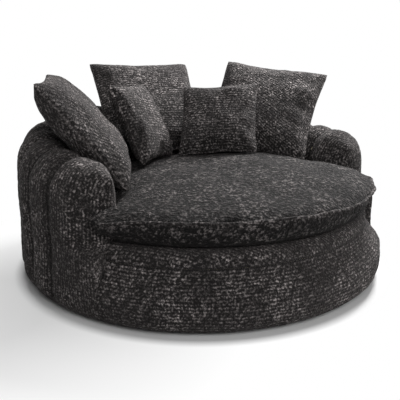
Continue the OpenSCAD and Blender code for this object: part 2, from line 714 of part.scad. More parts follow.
// A square pillow of n strips each way. The front and back faces share their rim.
module pillow_form(side, thick, n) {
    half = side / 2;
    grid = [for (i = [0 : n]) sin(90 * (2 * i / n - 1))];
    front = [for (j = [0 : n], i = [0 : n]) pillow_point(grid[i], grid[j], half, thick, -1)];
    back = [for (j = [1 : n - 1], i = [1 : n - 1]) pillow_point(grid[i], grid[j], half, thick, 1)];
    function f(i, j) = j * (n + 1) + i;
    function b(i, j) =
        i == 0 || j == 0 || i == n || j == n ? f(i, j) : len(front) + (j - 1) * (n - 1) + i - 1;
    // A corner's cell is split so that neither of its triangles lies wholly on the shared rim.
    function rising(i, j) = (i < n / 2) == (j < n / 2);
    cells = [for (j = [0 : n - 1], i = [0 : n - 1]) [i, j]];
    front_faces = flat([for (c = cells) let (i = c[0], j = c[1])
        rising(i, j)
        ? [[f(i, j), f(i, j + 1), f(i + 1, j + 1)], [f(i, j), f(i + 1, j + 1), f(i + 1, j)]]
        : [[f(i, j), f(i, j + 1), f(i + 1, j)], [f(i + 1, j), f(i, j + 1), f(i + 1, j + 1)]]]);
    back_faces = flat([for (c = cells) let (i = c[0], j = c[1])
        rising(i, j)
        ? [[b(i, j), b(i + 1, j + 1), b(i, j + 1)], [b(i, j), b(i + 1, j), b(i + 1, j + 1)]]
        : [[b(i, j), b(i + 1, j), b(i, j + 1)], [b(i + 1, j), b(i + 1, j + 1), b(i, j + 1)]]]);
    polyhedron(concat(front, back), concat(front_faces, back_faces));
}
module placed(p) {
    translate(p[2]) rotate([0, 0, p[3][0]]) rotate([-p[3][1], 0, 0]) rotate([0, -p[3][2], 0]) children();
}
cover_strips = 10;
insert_strips = 6;
module pillow_cover(p) {
    color(cloth_colour) placed(p) difference() {
        pillow_form(p[0], p[1], cover_strips);
        pillow_form(p[0] - 4 * pillow_cover_t, p[1] - pillow_cover_t, insert_strips);
    }
}
module pillow_insert(p) {
    color(fibre_colour) placed(p)
        pillow_form(p[0] - 4 * pillow_cover_t - 4 * fit, p[1] - pillow_cover_t - 2 * fit, insert_strips);
}
module left_pillow_cover() { pillow_cover(pillow_left); }
module left_pillow_insert() { pillow_insert(pillow_left); }
module back_pillow_cover() { pillow_cover(pillow_back); }
module back_pillow_insert() { pillow_insert(pillow_back); }
module right_pillow_cover() { pillow_cover(pillow_right); }
module right_pillow_insert() { pillow_insert(pillow_right); }
module small_left_pillow_cover() { pillow_cover(pillow_small_left); }
module small_left_pillow_insert() { pillow_insert(pillow_small_left); }
module small_centre_pillow_cover() { pillow_cover(pillow_small_centre); }
module small_centre_pillow_insert() { pillow_insert(pillow_small_centre); }

glides();
glide_screws();
dust_cover();
bottom_ring();
cross_rails();
base_posts();
post_screws();
base_board();
deck_ring();
seat_springs();
spring_clips();
spring_felt();
deck_foam();
deck_cover();
band_foam();
band_cover();
back_ribs();
back_rail();
rail_screws();
back_inner_board();
back_outer_board();
left_arm_board();
right_arm_board();
back_foam();
back_wrap();
seat_cover();
seat_core();
seat_zip();
zip_slider();
left_pillow_cover();
left_pillow_insert();
back_pillow_cover();
back_pillow_insert();
right_pillow_cover();
right_pillow_insert();
small_left_pillow_cover();
small_left_pillow_insert();
small_centre_pillow_cover();
small_centre_pillow_insert();
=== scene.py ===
"""A round armchair in charcoal chenille: the looks of every piece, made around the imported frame."""
import json
import math

import bmesh
import bpy
import numpy as np
from mathutils import Matrix, Vector
from mathutils.bvhtree import BVHTree


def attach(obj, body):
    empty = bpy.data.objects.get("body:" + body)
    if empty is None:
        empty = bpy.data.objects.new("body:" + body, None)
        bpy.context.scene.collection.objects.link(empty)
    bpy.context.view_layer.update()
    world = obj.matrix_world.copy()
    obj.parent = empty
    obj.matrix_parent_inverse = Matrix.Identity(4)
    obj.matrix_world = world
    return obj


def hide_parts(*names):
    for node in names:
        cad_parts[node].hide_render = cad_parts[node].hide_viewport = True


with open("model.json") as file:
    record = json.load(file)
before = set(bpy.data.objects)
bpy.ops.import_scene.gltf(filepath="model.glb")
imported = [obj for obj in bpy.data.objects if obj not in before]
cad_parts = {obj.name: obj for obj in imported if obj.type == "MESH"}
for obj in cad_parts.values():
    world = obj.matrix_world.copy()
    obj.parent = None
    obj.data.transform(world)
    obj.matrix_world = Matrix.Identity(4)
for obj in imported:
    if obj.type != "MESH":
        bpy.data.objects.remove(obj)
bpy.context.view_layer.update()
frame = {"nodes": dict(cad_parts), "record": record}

# Sizes of the chair, in metres and degrees, as the frame was built. Angles start at the front and grow towards +X.
BASE_R = 0.700
FULL_Z = 0.080
COVER_LIFT = 0.010
LOW_ROLL = 0.045
BAND_TURN_Z = 0.100
BAND_IN = 0.060
BAND_SEAM_Z = 0.212
DECK_Z = 0.270
DECK_ROLL = 0.079
ROLL_POWER = 2.4
FRAME_TOP = 0.222
HEM_R = 0.602
SKIRT_IN_R = 0.6212
WALL_IN_R = 0.480
RAIL_Z = 0.392
WALL_LEAN = 0.025
LEFT_ARM_H, RIGHT_ARM_H, BACK_H = 0.512, 0.490, 0.560
LEFT_CLIMB, RIGHT_CLIMB = (62, 140), (95, 175)
WALL_MID_R = (BASE_R - WALL_LEAN * (RAIL_Z - FULL_Z) + WALL_IN_R) / 2
WALL_HALF = WALL_MID_R - WALL_IN_R
FRONT_ANGLE = 61.5
NOSE_DEPTH = 9.5
NOSE_POWER = 1.6
RIM_ROLL = 0.125
CHANNEL_A0 = 80.0
CHANNEL_COUNT = 16
CHANNEL_DEPTH = 0.016
# How sharp the channels' seams are, and how narrow the painted shade in them is
SEAM_POWER, CHANNEL_SHADE_POWER = 2.8, 6
# Shares: the seams' depth on the wall's inside and on the rim's inner half, and the rim's drop at the arms' ends
INNER_SEAM, RIM_PINCH, NOSE_DROP = 0.45, 0.55, 0.45
# The wrap's inner side goes this far below the deck's top.
FOOT_DROP = 0.012
JOIN_Z, JOIN_BLEND = 0.240, 0.028
SEAT_R = 0.655
SEAT_REAR_R = 0.472
SEAT_SEAM_H = 0.088
SEAT_CROWN = 0.080
SEAT_BELLY = 0.145
SEAT_PITCH, SEAT_SLOPE = 0.04, 0.035
EAR_GAP = 0.008
LARGE_SIDE, LARGE_HALF_T = 0.465, 0.078
SMALL_SIDE, SMALL_HALF_T = 0.325, 0.058
DRAW_IN = 0.06
CLOTH_T = 0.003
# A fold never reaches further in than this, because the foam lies right under the cloth.
DEEPEST_FOLD = 0.0024
# The deck's disc lies just under the top of its roll, and the seat cushion's belly just above both.
DISC_Z = DECK_Z - 0.0002
BELLY_Z = DECK_Z + 0.0003
# The front pieces stop this many degrees short of the arms, and the band this far under its seam.
SIDE_CLEAR = 0.03
SEAM_CLEAR = 0.0003
# How deep the cloth is drawn in at the band's seam, and the ring of the deck on which the cushion's edge rests
TUCK = 0.004
REST_IN_R, REST_OUT_R = 0.595, 0.632
# How dark the painted shade is in the band's seam, between the channels, in that ring and on the cushion's belly
SEAM_SHADE, CHANNEL_SHADE, REST_SHADOW, BELLY_SHADE = -0.9, -0.95, -0.75, -0.85
# Metres of cloth to a radian round the chair
CLOTH_R = 0.66
# The cloth's unevenness, in layers of height, distance between hills, squeeze along Z, and seed
BAND_FOLDS = (0.0040, 0.085, 0.45, 3), (0.0022, 0.035, 0.5, 4)
DECK_FOLDS = (0.0035, 0.07, 1, 8), (0.0018, 0.03, 1, 9)
WALL_FOLDS = (0.0050, 0.12, 1, 12), (0.0026, 0.045, 0.5, 13), (0.0012, 0.010, 1, 14)
SEAT_FOLDS = (0.0060, 0.16, 1, 24), (0.0030, 0.06, 1, 25), (0.0011, 0.010, 1, 26)

# Each pillow: side, half thickness, centre, and the way its front faces, its lean and its roll, in degrees
PILLOWS = {
    "left": (LARGE_SIDE, LARGE_HALF_T, (-0.4360, 0.0934, 0.5628), (65, 39.5, -2)),
    "back": (LARGE_SIDE, LARGE_HALF_T, (0.0167, 0.4298, 0.5609), (-8, 41, -3)),
    "right": (LARGE_SIDE, LARGE_HALF_T, (0.4140, 0.1335, 0.5594), (-48, 46, -7)),
    "small_left": (SMALL_SIDE, SMALL_HALF_T, (-0.1457, 0.2027, 0.5439), (41.5, 26, -6)),
    "small_centre": (SMALL_SIDE, SMALL_HALF_T, (0.1696, 0.1222, 0.5362), (-48.5, 38, 6)),
}


def ease(t):
    """Goes smoothly from 0 to 1 while t does."""
    return (1 - np.cos(np.pi * np.clip(t, 0, 1))) / 2


def polar(r, a, z):
    """Points at radius r and angle a in degrees, from the front towards +X."""
    a = np.radians(a)
    r, a, z = np.broadcast_arrays(r, a, z)
    return np.stack([r * np.sin(a), -r * np.cos(a), z], -1)


def lumps(points, size, seed):
    """Smooth random values from -1 to 1 whose hills lie about size apart."""
    n = 32
    table = np.random.default_rng(seed).uniform(-1, 1, (n, n, n))
    q = np.asarray(points, float) / size + 50.37
    i = np.floor(q).astype(int)
    f = q - i
    f = f * f * (3 - 2 * f)
    total = 0
    for dx in (0, 1):
        for dy in (0, 1):
            for dz in (0, 1):
                corner = table[(i[..., 0] + dx) % n, (i[..., 1] + dy) % n, (i[..., 2] + dz) % n]
                weight = (np.where(dx, f[..., 0], 1 - f[..., 0]) * np.where(dy, f[..., 1], 1 - f[..., 1])
                          * np.where(dz, f[..., 2], 1 - f[..., 2]))
                total = total + corner * weight
    return total


def ripples(x, y, z, seed):
    """Smooth random values at coordinates of which each has hills about 1 apart."""
    return lumps(np.stack(np.broadcast_arrays(x, y, z), -1), 1.0, seed)


def folds(points, layers):
    """The sum of a cloth's layers of lumps."""
    return sum(height * lumps(points * [1, 1, squeeze], size, seed) for height, size, squeeze, seed in layers)


def laid(x, y, degrees):
    """Places on flat cloth whose ribs are turned by the given angle."""
    c, s = math.cos(math.radians(degrees)), math.sin(math.radians(degrees))
    return np.stack([x * c + y * s, -x * s + y * c], -1)


# Meshes

def run_length(chain):
    """Distance along a chain of points, from its first one."""
    steps = np.linalg.norm(np.diff(chain, axis=0), axis=1)
    return np.concatenate([[0], np.cumsum(steps)])


def grid_faces(rows, columns, close_rows=False, close_columns=False):
    """Quads of a grid whose points are counted row by row."""
    i, j = np.meshgrid(np.arange(rows if close_rows else rows - 1),
                       np.arange(columns if close_columns else columns - 1), indexing="ij")
    a = i * columns + j
    b = i * columns + (j + 1) % columns
    c = (i + 1) % rows * columns + (j + 1) % columns
    d = (i + 1) % rows * columns + j
    return np.stack([a, b, c, d], -1).reshape(-1, 4).tolist()


def new_mesh(name, points, faces, cloth_uv, painted_light=0.0):
    """A smooth closed object. cloth_uv gives each point its place on the flat cloth, across the ribs and along
    them, and the last argument says how much highlight is painted at each point, or how much shade where it is
    below 0."""
    mesh = bpy.data.meshes.new(name)
    mesh.from_pydata(np.asarray(points, float).tolist(), [], [list(f) for f in faces])
    turned = bmesh.new()
    turned.from_mesh(mesh)
    bmesh.ops.recalc_face_normals(turned, faces=turned.faces)
    if turned.calc_volume(signed=True) < 0:
        bmesh.ops.reverse_faces(turned, faces=turned.faces)
    turned.to_mesh(mesh)
    turned.free()
    mesh.polygons.foreach_set("use_smooth", np.ones(len(mesh.polygons), bool))
    layer = mesh.uv_layers.new(name="cloth")
    corner = np.zeros(len(mesh.loops), int)
    mesh.loops.foreach_get("vertex_index", corner)
    layer.data.foreach_set("uv", np.asarray(cloth_uv, float)[corner].ravel())
    painted_layer = mesh.attributes.new("painted_light", "FLOAT", "POINT")
    painted_layer.data.foreach_set("value", np.clip(painted_light + np.zeros(len(points)), -1, 1))
    obj = bpy.data.objects.new(name, mesh)
    bpy.context.scene.collection.objects.link(obj)
    return obj


def points_of(obj):
    co = np.zeros(len(obj.data.vertices) * 3)
    obj.data.vertices.foreach_get("co", co)
    return co.reshape(-1, 3)


def set_points(obj, points):
    obj.data.vertices.foreach_set("co", np.asarray(points, float).ravel())
    obj.data.update()


def applied(obj, *modifiers):
    """Adds modifiers, each a type and its settings, and turns the result into the object's own mesh."""
    for kind, settings in modifiers:
        m = obj.modifiers.new(kind, kind)
        for key, value in settings.items():
            setattr(m, key, value)
    baked = bpy.data.meshes.new_from_object(obj.evaluated_get(bpy.context.evaluated_depsgraph_get()))
    obj.modifiers.clear()
    obj.data = baked
    return obj


def tree_of(obj):
    return BVHTree.FromPolygons(points_of(obj).tolist(), [tuple(p.vertices) for p in obj.data.polygons])


def keep_clear(points, neighbours, gap, reach=0.06):
    """Moves each point that is inside a neighbour, or nearer to it than gap, out to that gap."""
    out = points.copy()
    for tree in neighbours:
        for i, p in enumerate(out):
            near, normal, _, dist = tree.find_nearest(Vector(p), reach)
            if near is None:
                continue
            side = (Vector(p) - near).dot(normal)
            if side < 0 or dist < gap:
                out[i] = near + normal * gap
    return out


def fabric(obj, body, *nodes, fill, material):
    """Dresses a piece: it rides on its body, stands for its nodes and wears the given chenille material."""
    obj.data.materials.clear()
    obj.data.materials.append(material)
    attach(obj, body)
    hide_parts(*nodes)
    return obj


# Materials

class Number:
    """A shader number. An expression on it adds Math nodes."""

    def __init__(self, shader, socket):
        self.shader = shader
        self.socket = socket

    def math(self, operation, *values):
        node = self.shader.node("ShaderNodeMath", {"operation": operation}, dict(enumerate(values)))
        return Number(self.shader, node.outputs[0])

    def __add__(self, other): return self.math("ADD", self, other)
    def __radd__(self, other): return self.math("ADD", other, self)
    def __sub__(self, other): return self.math("SUBTRACT", self, other)
    def __rsub__(self, other): return self.math("SUBTRACT", other, self)
    def __mul__(self, other): return self.math("MULTIPLY", self, other)
    def __rmul__(self, other): return self.math("MULTIPLY", other, self)
    def __truediv__(self, other): return self.math("DIVIDE", self, other)
    def __pow__(self, other): return self.math("POWER", self, other)
    def __abs__(self): return self.math("ABSOLUTE", self)
    def floor(self): return self.math("FLOOR", self)
    def clamped(self): return self.math("MINIMUM", self.math("MAXIMUM", self, 0.0), 1.0)


class Nodes:
    """A node tree. Its node method adds every node."""

    def __init__(self, tree):
        self.tree = tree

    def node(self, kind, settings=None, inputs=None):
        made = self.tree.nodes.new(kind)
        for key, value in (settings or {}).items():
            setattr(made, key, value)
        for key, value in (inputs or {}).items():
            self.feed(made.inputs[key], value)
        return made

    def feed(self, socket, value):
        if isinstance(value, Number):
            value = value.socket
        if isinstance(value, bpy.types.NodeSocket):
            self.tree.links.new(value, socket)
        else:
            socket.default_value = value

    def number(self, kind, output, settings=None, inputs=None):
        return Number(self, self.node(kind, settings, inputs).outputs[output])

    def seen(self):
        """1 for what the camera sees, straight or in a reflection or through a piece, and 0 for bounced light."""
        path = self.node("ShaderNodeLightPath").outputs
        camera, mirrored, through = (Number(self, path[f"Is {kind} Ray"])
                                     for kind in ("Camera", "Glossy", "Transmission"))
        return (camera + mirrored + through).clamped()


class Shader(Nodes):
    """A material with one Principled shader, whose plain values are given by name."""

    def __init__(self, name, **plain):
        self.material = bpy.data.materials.new(name)
        self.material.use_nodes = True
        super().__init__(self.material.node_tree)
        self.surface = self.tree.nodes["Principled BSDF"]
        for key, value in plain.items():
            self.surface.inputs[key.replace("_", " ")].default_value = value

    def place(self):
        return self.node("ShaderNodeTexCoord").outputs["Object"]

    def noise(self, where, scale, detail=2.0, roughness=0.5):
        return self.number("ShaderNodeTexNoise", "Fac", None,
                           {"Vector": where, "Scale": scale, "Detail": detail, "Roughness": roughness})

    def mix(self, share, first, second):
        made = self.node("ShaderNodeMix", {"data_type": "RGBA"})
        self.feed(made.inputs["Factor"], share)
        self.feed(made.inputs[6], first)
        self.feed(made.inputs[7], second)
        return made.outputs[2]

    def bump(self, height, distance, strength=1.0):
        made = self.node("ShaderNodeBump", None, {"Height": height, "Distance": distance, "Strength": strength})
        self.feed(self.surface.inputs["Normal"], made.outputs[0])


def grey(level, warm=0.13):
    """A grey of the given level, warmer in red and green."""
    return (level * (1 + warm), level * (1 + warm / 6), level, 1.0)


# The chenille in metres: the ribs' distance, a tuft's length and how far a rib wanders
RIB_PITCH = 0.0112
TUFT_LENGTH = 0.0056
RIB_WANDER = 0.010
# The scales of its noises: wandering ribs, uneven tufts, loose fibres, clumps and crushed patches
DRIFT_SCALE, LAG_SCALE, FUZZ_SCALE, CLUMP_SCALE, PATCH_SCALE = 17.0, 60.0, 140.0, 60.0, 8.0
# Its tones at the tufts' roots and at their tips, and the height that the bump gives to the pile
ROOT_TONE, TIP_TONE = 0.0030, 0.29
PILE_BUMP = 0.0032


def chenille(name, level, grain, contrast):
    """Ribs of short tufts, dark at their roots and silver at some tips, crushed lighter and darker in patches.
    level is the cloth's tone; a lower level makes a darker copy, painted shade where the pile lies away from the
    light. A higher grain gives finer fibres, and contrast says how ruffled they are. The mesh's per-point
    attribute adds painted highlight above 0, and painted shade below 0."""
    s = Shader(name, Roughness=0.9, Sheen_Weight=0.04 * level, Sheen_Roughness=0.45, Sheen_Tint=grey(0.7),
               Specular_IOR_Level=0.12)
    flat = s.node("ShaderNodeUVMap", {"uv_map": "cloth"})
    split = s.node("ShaderNodeSeparateXYZ", None, {0: flat.outputs[0]})
    across, along = Number(s, split.outputs[0]), Number(s, split.outputs[1])
    painted_light = s.number("ShaderNodeAttribute", "Fac", {"attribute_name": "painted_light"})
    where = s.place()
    drift = s.noise(where, DRIFT_SCALE) - 0.5
    ribs = (across + drift * RIB_WANDER) / RIB_PITCH
    rib = ribs.floor()
    rib_random = s.number("ShaderNodeTexWhiteNoise", 0, {"noise_dimensions": "1D"}, {"W": rib})
    lag = s.noise(where, LAG_SCALE)
    tufts = along / TUFT_LENGTH + rib_random * 9.0 + lag * 2.5
    tuft = tufts.floor()
    cell = s.node("ShaderNodeCombineXYZ", None, {0: rib, 1: tuft})
    tuft_random = s.number("ShaderNodeTexWhiteNoise", 0, {"noise_dimensions": "2D"}, {"Vector": cell.outputs[0]})
    rib_shape = 1.0 - abs((ribs - rib) * 2.0 - 1.0) ** 1.8
    tuft_shape = 1.0 - abs((tufts - tuft) * 2.0 - 1.0) ** 1.6
    fuzz = s.noise(where, FUZZ_SCALE * grain, 3.0, 0.65) - 0.5
    clump = s.noise(where, CLUMP_SCALE * grain, 2.0, 0.6) - 0.5
    patches = s.noise(where, PATCH_SCALE, 5.0, 0.62)
    crushed = ((patches - 0.42) * 3.6).clamped()
    pile = rib_shape * (0.30 + tuft_shape * 0.14 + tuft_random * 0.60) + (fuzz * 4.6 + clump * 1.7) * contrast
    # Painted highlight where the attribute is above 0; below 0 the pile is darkened as painted shade.
    painted_highlight = painted_light.clamped() * (0.10 + fuzz * 0.6).clamped()
    lit = (pile * 0.58).clamped() ** 2.3 * (0.30 + crushed * 0.70) * (1.0 + painted_light) + painted_highlight
    s.feed(s.surface.inputs["Base Color"], s.mix(lit.clamped(), grey(ROOT_TONE * level), grey(TIP_TONE * level)))
    s.bump(pile, PILE_BUMP)
    return s.material


VENEER_T = 0.0026


def plywood():
    """Raw plywood: pale veneers with grain, and darker glue lines through the sheet's thickness."""
    s = Shader("birch_plywood", Roughness=0.6)
    where = s.place()
    parts = s.node("ShaderNodeSeparateXYZ", None, {0: where})
    x, y, z = (Number(s, parts.outputs[i]) for i in range(3))
    stretched = s.node("ShaderNodeCombineXYZ", None, {0: x * 6.0, 1: y * 90.0, 2: z * 90.0})
    grain = s.noise(stretched.outputs[0], 1.0, 5.0, 0.6)
    veneer = (z / VENEER_T).floor()
    line = s.number("ShaderNodeTexWhiteNoise", 0, {"noise_dimensions": "1D"}, {"W": veneer})
    s.feed(s.surface.inputs["Base Color"],
           s.mix((grain * 0.7 + line * 0.4).clamped(), (0.42, 0.25, 0.11, 1), (0.72, 0.54, 0.32, 1)))
    s.bump(grain, 0.0004, 0.6)
    return s.material


def speckled(name, first, second, scale, roughness, bump, metallic=0.0, detail=3.0):
    """A finish of two close tones in a grain of the given scale."""
    s = Shader(name, Metallic=metallic)
    grain = s.noise(s.place(), scale, detail, 0.65)
    s.feed(s.surface.inputs["Base Color"], s.mix(((grain - 0.35) * 3.0).clamped(), first, second))
    s.feed(s.surface.inputs["Roughness"], roughness + (grain - 0.5) * 0.2)
    s.bump(grain, bump, 0.8)
    return s.material


CHENILLE = chenille("charcoal_chenille", 2.0, 1.0, 1.1)
# The seat cushion's copy is darker, painted shade where its top lies away from the light, with coarser and
# stronger grain.
SHADED_SEAT_CHENILLE = chenille("charcoal_chenille_shaded_seat", 0.58, 0.66, 1.9)
FINISHES = {
    "plywood": plywood(),
    "bent_board": speckled("raw_hardboard", (0.20, 0.12, 0.06, 1), (0.36, 0.24, 0.13, 1), 260, 0.7, 0.0003),
    "foam": speckled("open_cell_foam", (0.62, 0.54, 0.33, 1), (0.86, 0.79, 0.55, 1), 700, 0.9, 0.001),
    "felt": speckled("grey_felt", (0.13, 0.135, 0.14, 1), (0.33, 0.34, 0.35, 1), 420, 0.95, 0.0008),
    "fibre": speckled("fibre_filling", (0.70, 0.69, 0.66, 1), (0.92, 0.91, 0.88, 1), 90, 0.9, 0.004),
    "dust_cloth": speckled("black_dust_cloth", (0.012, 0.012, 0.012, 1), (0.045, 0.045, 0.046, 1), 900, 0.85,
                           0.0003),
    "glide_plastic": speckled("glide_plastic", (0.018, 0.018, 0.020, 1), (0.035, 0.035, 0.038, 1), 160, 0.45,
                              0.0001),
    "spring_wire": speckled("spring_wire", (0.30, 0.31, 0.33, 1), (0.48, 0.49, 0.51, 1), 300, 0.35, 0.00005, 1.0),
    "steel": speckled("zinc_plated_steel", (0.46, 0.47, 0.49, 1), (0.66, 0.66, 0.67, 1), 240, 0.32, 0.00005, 1.0),
    "zip_tape": speckled("zip_tape", (0.012, 0.012, 0.014, 1), (0.040, 0.040, 0.043, 1), 800, 0.8, 0.0003),
    "zip_metal": speckled("dark_nickel", (0.16, 0.16, 0.165, 1), (0.30, 0.30, 0.31, 1), 300, 0.3, 0.00005, 1.0),
}
for part in frame["record"]["subparts"]:
    node = frame["nodes"][part["node"]]
    node.data.materials.clear()
    node.data.materials.append(FINISHES.get(part["material_slot"], CHENILLE))


# Front band and deck

DECK_RIB_TURN = 38


def low_r(z):
    """Radius of the cloth's lowest part, which rolls in under the chair."""
    return BASE_R - LOW_ROLL * (1 - np.sqrt(1 - np.clip((FULL_Z - z) / (FULL_Z - COVER_LIFT), 0, 1) ** 2))


def band_r(z):
    """Radius of the front band, which goes in towards its seam with the deck."""
    return low_r(z) - BAND_IN * ease((z - BAND_TURN_Z) / (BAND_SEAM_Z - BAND_TURN_Z))


def deck_r(z):
    """Radius of the deck's roll."""
    t = np.clip((z - BAND_SEAM_Z) / (DECK_Z - BAND_SEAM_Z), 0, 1)
    return BASE_R - BAND_IN - DECK_ROLL + DECK_ROLL * (1 - t ** ROLL_POWER) ** (1 / ROLL_POWER)


def front_angles(count):
    """Angles across the open front, between the arms."""
    return np.linspace(-FRONT_ANGLE + SIDE_CLEAR, FRONT_ANGLE - SIDE_CLEAR, count)


def swept_band(chain, angles, soft):
    """A closed pad: a chain of radius and height swept through the angles, with the cloth's thickness inside.
    soft moves the outer points: it gets their radius, angle and height and returns an outward move."""
    tangent = np.gradient(chain, axis=0)
    tangent /= np.linalg.norm(tangent, axis=1)[:, None]
    inward = np.stack([-tangent[:, 1], tangent[:, 0]], -1)
    inner = (chain + inward * CLOTH_T)[::-1]
    n, m = len(chain), len(angles)
    a = angles[:, None]
    move = np.maximum(soft(chain[None, :, 0], a, chain[None, :, 1]), -DEEPEST_FOLD)
    outer = chain[None] - inward[None] * move[..., None]
    section = np.concatenate([outer, np.broadcast_to(inner, (m, n, 2))], axis=1)
    points = polar(section[..., 0], a, section[..., 1])
    s = run_length(chain)
    s = np.concatenate([s, s[::-1]])[None].repeat(m, 0)
    turn = np.radians(a).repeat(2 * n, 1) * CLOTH_R
    uv = np.stack([s, turn], -1)
    faces = [f[::-1] for f in grid_faces(m, 2 * n, close_columns=True)]
    last = (m - 1) * 2 * n
    for k in range(n - 1):
        faces.append([k, k + 1, 2 * n - 2 - k, 2 * n - 1 - k])
        faces.append([last + k, last + 2 * n - 1 - k, last + 2 * n - 2 - k, last + k + 1])
    return points.reshape(-1, 3), faces, uv.reshape(-1, 2)


def front_band():
    """The cover of the front band between the arms, with its hem, its sag and the fold at its seam."""
    zs = COVER_LIFT + (BAND_SEAM_Z - SEAM_CLEAR - COVER_LIFT) * np.linspace(0, 1, 44) ** 1.1
    hem = np.stack([np.linspace(HEM_R, low_r(COVER_LIFT) - 0.006, 6), np.full(6, COVER_LIFT + 0.003)], -1)
    chain = np.concatenate([hem, np.stack([band_r(zs), zs], -1)])

    def soft(r, a, z):
        p = polar(r, a, z)
        height = ease((z - COVER_LIFT) / 0.05) * ease((BAND_SEAM_Z - z) / 0.012)
        edge = ease((FRONT_ANGLE - abs(a)) / 0.8)
        tuck = -TUCK * (1 - ease((BAND_SEAM_Z - z) / 0.010))
        sag = 0.0030 * np.exp(-((z - 0.045) / 0.02) ** 2) * (1 + lumps(p * [1, 1, 0], 0.11, 5))
        uneven = (folds(p, BAND_FOLDS) * height + sag) * edge
        return uneven + tuck - 0.004 * (1 - edge) * (z > 0.02) + 0.0010 * lumps(p, 0.009, 6)

    points, faces, uv = swept_band(chain, front_angles(300), soft)
    # Shade is painted dark down in the band's seam, where the cloth is drawn in.
    crease_shade = SEAM_SHADE * (1 - ease((BAND_SEAM_Z - points[:, 2]) / 0.009))
    obj = new_mesh("front_band", points, faces, uv, crease_shade)
    return fabric(obj, "chair", "band_cover", fill=0.9, material=CHENILLE)


def deck_roll():
    """The deck's cover: the roll along its front edge, and a disc behind it, inside the wall."""
    turns = np.linspace(0, 90, 26)
    zs = BAND_SEAM_Z + (DECK_Z - BAND_SEAM_Z) * np.sin(np.radians(turns))
    flat = np.linspace(BASE_R - BAND_IN - DECK_ROLL, WALL_IN_R, 12)[1:]
    chain = np.concatenate([np.stack([deck_r(zs), zs], -1), np.stack([flat, np.full(11, DECK_Z)], -1)])

    def soft(r, a, z):
        p = polar(r, a, z)
        open_part = ease((r - 0.500) / 0.05) * ease((FRONT_ANGLE - abs(a)) / 1.2)
        top = ease((DECK_Z - 0.004 - z) / 0.012)
        tuck = -TUCK * (1 - ease((z - BAND_SEAM_Z) / 0.008))
        return (folds(p, DECK_FOLDS) - 0.004) * open_part * top + tuck + 0.0009 * lumps(p, 0.009, 10) * top

    points, faces, _ = swept_band(chain, front_angles(260), soft)
    # The rear of the deck is a disc with two small tongues, which fill the corners at the arms' rounded ends.
    tongue = FRONT_ANGLE + NOSE_DEPTH * np.linspace(0, 1, 24)
    corners = np.concatenate([tongue, [FRONT_ANGLE - 0.05]])
    a = np.unique(np.concatenate([np.arange(0, 360, 3.0), corners, 360 - corners]))
    q = (np.minimum(a, 360 - a) - FRONT_ANGLE) / NOSE_DEPTH
    bulge = np.minimum(0.075, WALL_HALF * (1 - np.clip(q, 0, 1) ** (1 / NOSE_POWER))) * (q > -0.001)
    rings, around = 16, len(a)
    r = (WALL_IN_R - 0.0006 + bulge) * (1 - np.linspace(0, 1, rings)[:, None] ** 1.3)[:-1]
    top = polar(r, a[None], DISC_Z).reshape(-1, 3)
    low = polar(r, a[None], DECK_Z - CLOTH_T).reshape(-1, 3)
    k = len(points)
    n = len(top)
    disc_faces = [[v + k for v in f] for f in grid_faces(rings - 1, around, close_columns=True)]
    low_faces = [[v + k + n for v in f[::-1]] for f in grid_faces(rings - 1, around, close_columns=True)]
    rim = [[k + j, k + n + j, k + n + (j + 1) % around, k + (j + 1) % around] for j in range(around)]
    inner = (rings - 2) * around
    fans = []
    for j in range(around):
        nxt = (j + 1) % around
        fans.append([k + inner + j, k + inner + nxt, k + 2 * n])
        fans.append([k + n + inner + nxt, k + n + inner + j, k + 2 * n + 1])
    middle = np.array([[0, 0, DISC_Z], [0, 0, DECK_Z - CLOTH_T]])
    points = np.concatenate([points, top, low, middle])
    uv = laid(points[:, 0], points[:, 1] + points[:, 2] * 0.7, DECK_RIB_TURN)
    # Shade is painted dark in a ring where the seat cushion's edge rests on it, as its shadow, and down in the
    # seam.
    reach = np.linalg.norm(points[:, :2], axis=1)
    painted_shade = REST_SHADOW * ease((REST_OUT_R - reach) / 0.03) * (1 - ease((REST_IN_R - reach) / 0.05))
    painted_shade = np.minimum(painted_shade, SEAM_SHADE * (1 - ease((points[:, 2] - BAND_SEAM_Z) / 0.008)))
    obj = new_mesh("deck_roll", points, faces + disc_faces + low_faces + rim + fans, uv, painted_shade)
    return fabric(obj, "chair", "deck_cover", fill=0.8, material=CHENILLE)


# Arms and back

def rim_h(a):
    """Height of the rim at a signed angle: the left arm climbs to the back sooner than the right one."""
    def climb(arm_h, start, end):
        return arm_h + (BACK_H - arm_h) * ease((np.abs(a) - start) / (end - start))

    return np.where(a < 0, climb(LEFT_ARM_H, *LEFT_CLIMB), climb(RIGHT_ARM_H, *RIGHT_CLIMB))


CHANNEL_PITCH = (360 - 2 * CHANNEL_A0) / CHANNEL_COUNT


def seam_share(a, power):
    """1 in a seam between channels and 0 on a channel's crown, at a signed angle."""
    b = np.abs(a)
    before = np.clip(1 - (CHANNEL_A0 - b) / (CHANNEL_PITCH / 2), 0, 1)
    q = (b - CHANNEL_A0) / CHANNEL_PITCH
    return np.where(b < CHANNEL_A0, before, np.abs(2 * (q - np.floor(q)) - 1)) ** power


def wall_r(z):
    """Radius of the wall's outside, which leans in from its fullest line."""
    return np.where(z < FULL_Z, low_r(z), BASE_R - WALL_LEAN * (z - FULL_Z))


OUTER_ROWS, RIM_ROWS, INNER_ROWS = 52, 62, 24
NOSE_STATIONS = 22


def wrap_stations():
    """Angles from 0 to 360 of the wall's sections, with each one's share of the full thickness."""
    shares = np.sin(np.radians(np.linspace(3, 90, NOSE_STATIONS)))
    nose = FRONT_ANGLE + NOSE_DEPTH * shares ** NOSE_POWER
    middle = np.linspace(nose[-1], 360 - nose[-1], 462)[1:-1]
    angles = np.concatenate([nose, middle, 360 - nose[::-1]])
    return angles, np.concatenate([shares, np.ones(len(middle)), shares[::-1]])


